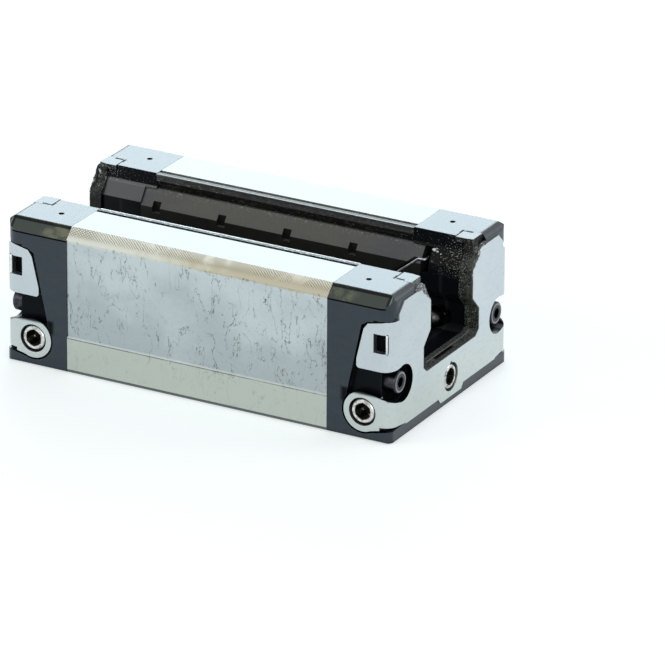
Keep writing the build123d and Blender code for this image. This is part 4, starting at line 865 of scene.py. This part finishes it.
def window_latch(sx, sy, name):
    """Rounded catch that stands along the outer side of the plate's window."""
    path = []
    for k in range(CATCH_STEPS + 1):
        z = WINDOW_Z[0] + (WINDOW_Z[1] - WINDOW_Z[0]) * k / CATCH_STEPS
        place = reach_surface(plate_node(sx), (sx * WINDOW_X, sy * (HALF_WIDTH + 6.0), z), (0, -sy, 0))
        path.append(place if place else Vector((sx * WINDOW_X, sy * HALF_WIDTH, z)))
    mesh = bmesh.new()

    def half_round(index, point, forward):
        swell = 0.55 if index in (0, len(path) - 1) else 1.0
        ring = []
        for step in range(8):
            angle = math.pi * step / 7
            across = math.cos(angle) * CATCH_HALF_WIDTH * swell
            proud = math.sin(angle) * CATCH_RISE * swell - CATCH_SINK
            ring.append(point + Vector((across, sy * proud, 0)))
        return ring

    swept(mesh, path, half_round)
    return finished_mesh(name, mesh)


def lip_path(sx, sy):
    """Line along the plate's upper inner corner and down its channel edge."""
    corners = list(LIP_CORNERS)
    for z in LIP_HEIGHTS:
        place = reach_surface(plate_node(sx), (sx * (LIP_X - 0.45), 0.0, z), (0, sy, 0))
        if place:
            corners.append((abs(place.y) - 0.05, z))
    points = [Vector((sx * LIP_X, sy * y, z)) for y, z in corners]
    path = []
    for first, second in zip(points, points[1:]):
        steps = max(2, int((second - first).length / LIP_STEP))
        path += [first.lerp(second, k / steps) for k in range(steps)]
    path.append(points[-1])
    return path


def lip_bead(sx, sy, name):
    """Uneven greasy edge of the end seal over the plate's edge, thickest at the front right corner."""
    path = lip_path(sx, sy)
    mesh = bmesh.new()
    last = len(path) - 1

    def lumpy(index, point, forward):
        side = Vector((sx, 0, 0))
        other = forward.cross(side).normalized()
        thick = min(1.0, 0.25 + min(index, last - index) / 6.0)
        thick *= 0.52 + 0.48 * min(1.0, max(0.0, (point.z - 24.5) / 2.5))
        if sx > 0 > sy and point.z > 27.0:
            thick *= 1.45
        flat = 0.75 if thick < 1.0 else 0.55
        ring = []
        for step in range(LIP_SIDES):
            angle = 2 * math.pi * step / LIP_SIDES
            way = math.cos(angle) * side * flat + math.sin(angle) * other
            uneven = noise.noise((point + way) * 1.7 + Vector((3.0 * sx, 5.0 * sy, 0)))
            uneven += 0.5 * noise.noise((point + way) * 4.1)
            ring.append(point + way * LIP_RADIUS * thick * (1.0 + LIP_LUMPS * uneven))
        return ring

    swept(mesh, path, lumpy)
    return finished_mesh(name, mesh)


def grease_drops():
    """Small drops of grease on the inner slope of the front left cap, by the hook of the wire."""
    mesh = bmesh.new()
    for place, size in GREASE_DROPS:
        centre = Vector(place)
        made = bmesh.ops.create_icosphere(mesh, subdivisions=3, radius=1.0)
        for vert in made["verts"]:
            way = vert.co.copy()
            uneven = 1.0 + DROP_LUMPS * noise.noise(way * 1.3 + centre)
            vert.co = (centre + Vector((way.x * 1.25, way.y, way.z * 0.8)) * size * uneven) * MM
    return finished_mesh("grease_drops", mesh)


def add_pieces():
    """Threads, catches, greasy edges and drops."""
    add_piece("grease_drops", grease_drops(), materials["glint_grease_drop"])
    add_piece("deck_hole_threads", deck_hole_threads(), materials["body_steel"])
    for sx, end in ((1, "front"), (-1, "rear")):
        for sy, side in ((1, "left"), (-1, "right")):
            latch = f"{end}_{side}_window_latch"
            add_piece(latch, window_latch(sx, sy, latch), materials["catch_steel"])
            bead = f"{end}_{side}_lip_edge"
            add_piece(bead, lip_bead(sx, sy, bead), materials["lip_grease"])


# Stage
def light_path_switch(tree, strength_seen, strength_lighting):
    """Strength that camera and mirror rays see, and another for the light on the object."""
    path = tree.nodes.new("ShaderNodeLightPath")
    seen = tree.nodes.new("ShaderNodeMath")
    seen.operation = "MAXIMUM"
    tree.links.new(path.outputs["Is Camera Ray"], seen.inputs[0])
    tree.links.new(path.outputs["Is Glossy Ray"], seen.inputs[1])
    also = tree.nodes.new("ShaderNodeMath")
    also.operation = "MAXIMUM"
    tree.links.new(seen.outputs[0], also.inputs[0])
    tree.links.new(path.outputs["Is Transmission Ray"], also.inputs[1])
    strength = tree.nodes.new("ShaderNodeMapRange")
    strength.inputs["To Min"].default_value = strength_lighting
    strength.inputs["To Max"].default_value = strength_seen
    tree.links.new(also.outputs[0], strength.inputs["Value"])
    return strength.outputs[0]


def make_world():
    """White surroundings, dimmer as light on the object."""
    world = bpy.data.worlds.new("studio")
    bpy.context.scene.world = world
    world.use_nodes = True
    tree = world.node_tree
    background = tree.nodes["Background"]
    background.inputs["Color"].default_value = (*WHITE, 1.0)
    tree.links.new(light_path_switch(tree, 1.0, WORLD_LIGHT), background.inputs["Strength"])


def make_floor():
    """White paper that keeps the shadow, with a glow that only camera and mirror rays see."""
    mesh = bpy.data.meshes.new("floor")
    corners = [(x * FLOOR_REACH, y * FLOOR_REACH, 0) for x, y in ((-1, -1), (1, -1), (1, 1), (-1, 1))]
    mesh.from_pydata(corners, [], [(0, 1, 2, 3)])
    floor = bpy.data.objects.new("floor", mesh)
    bpy.context.scene.collection.objects.link(floor)
    material = bpy.data.materials.new("floor_paper")
    material.use_nodes = True
    tree = material.node_tree
    tree.nodes.clear()
    diffuse = tree.nodes.new("ShaderNodeBsdfDiffuse")
    diffuse.inputs["Color"].default_value = FLOOR_COLOR
    glow = tree.nodes.new("ShaderNodeEmission")
    glow.inputs["Color"].default_value = FLOOR_GLOW_COLOR
    tree.links.new(light_path_switch(tree, FLOOR_GLOW, 0.0), glow.inputs["Strength"])
    both = tree.nodes.new("ShaderNodeAddShader")
    output = tree.nodes.new("ShaderNodeOutputMaterial")
    tree.links.new(diffuse.outputs[0], both.inputs[0])
    tree.links.new(glow.outputs[0], both.inputs[1])
    tree.links.new(both.outputs[0], output.inputs[0])
    assign(floor, material)


def area_light(name, location, size, power, color):
    """Rectangular lamp that faces the object."""
    data = bpy.data.lights.new(name, "AREA")
    data.shape = "RECTANGLE"
    data.size, data.size_y = size
    data.energy = power
    data.color = color
    lamp = bpy.data.objects.new(name, data)
    lamp.location = location
    lamp.rotation_euler = (LAMP_AIM - Vector(location)).to_track_quat("-Z", "Y").to_euler()
    bpy.context.scene.collection.objects.link(lamp)


def make_lights():
    for name, (location, size, power, color) in LAMPS.items():
        area_light(name, location, size, power, color)


def make_camera():
    """Camera of the photograph: it looks past the object's middle by the offset."""
    sin_a, cos_a = math.sin(CAMERA_AZIMUTH), math.cos(CAMERA_AZIMUTH)
    sin_e, cos_e = math.sin(CAMERA_ELEVATION), math.cos(CAMERA_ELEVATION)
    back = Vector((sin_a * cos_e, -cos_a * cos_e, sin_e))
    level_right = Vector((0, 0, 1)).cross(back).normalized()
    level_up = back.cross(level_right)
    sin_r, cos_r = math.sin(CAMERA_ROLL), math.cos(CAMERA_ROLL)
    right = cos_r * level_right + sin_r * level_up
    up = cos_r * level_up - sin_r * level_right
    data = bpy.data.cameras.new("camera")
    data.sensor_fit = "HORIZONTAL"
    data.sensor_width = SENSOR_WIDTH
    data.lens = FOCAL_PIXELS / IMAGE_SIDE * SENSOR_WIDTH
    data.clip_start = 0.05
    camera = bpy.data.objects.new("camera", data)
    place = (CAMERA_OFFSET[0] * right + CAMERA_OFFSET[1] * up + CAMERA_DISTANCE * back) * MM
    rotation = Matrix((right, up, back)).transposed().to_4x4()
    camera.matrix_world = Matrix.Translation(place) @ rotation
    bpy.context.scene.collection.objects.link(camera)
    bpy.context.scene.camera = camera


# Assembly
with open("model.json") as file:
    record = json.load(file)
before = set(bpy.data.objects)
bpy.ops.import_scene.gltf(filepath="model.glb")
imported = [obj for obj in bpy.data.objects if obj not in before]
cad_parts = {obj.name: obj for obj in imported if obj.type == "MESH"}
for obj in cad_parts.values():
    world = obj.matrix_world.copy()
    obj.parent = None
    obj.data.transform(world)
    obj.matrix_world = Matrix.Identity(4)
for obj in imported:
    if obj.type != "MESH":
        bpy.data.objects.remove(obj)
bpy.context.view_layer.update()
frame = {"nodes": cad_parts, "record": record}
materials = make_materials()
slot_of = {part["node"]: part["material_slot"] for part in frame["record"]["subparts"]}
for name, obj in frame["nodes"].items():
    key = "end_seal_rubber" if name.endswith("end_seal") else slot_of[name]
    assign(obj, materials[key])

add_pieces()
make_world()
make_floor()
make_lights()
make_camera()
bpy.context.scene.view_settings.view_transform = "Standard"
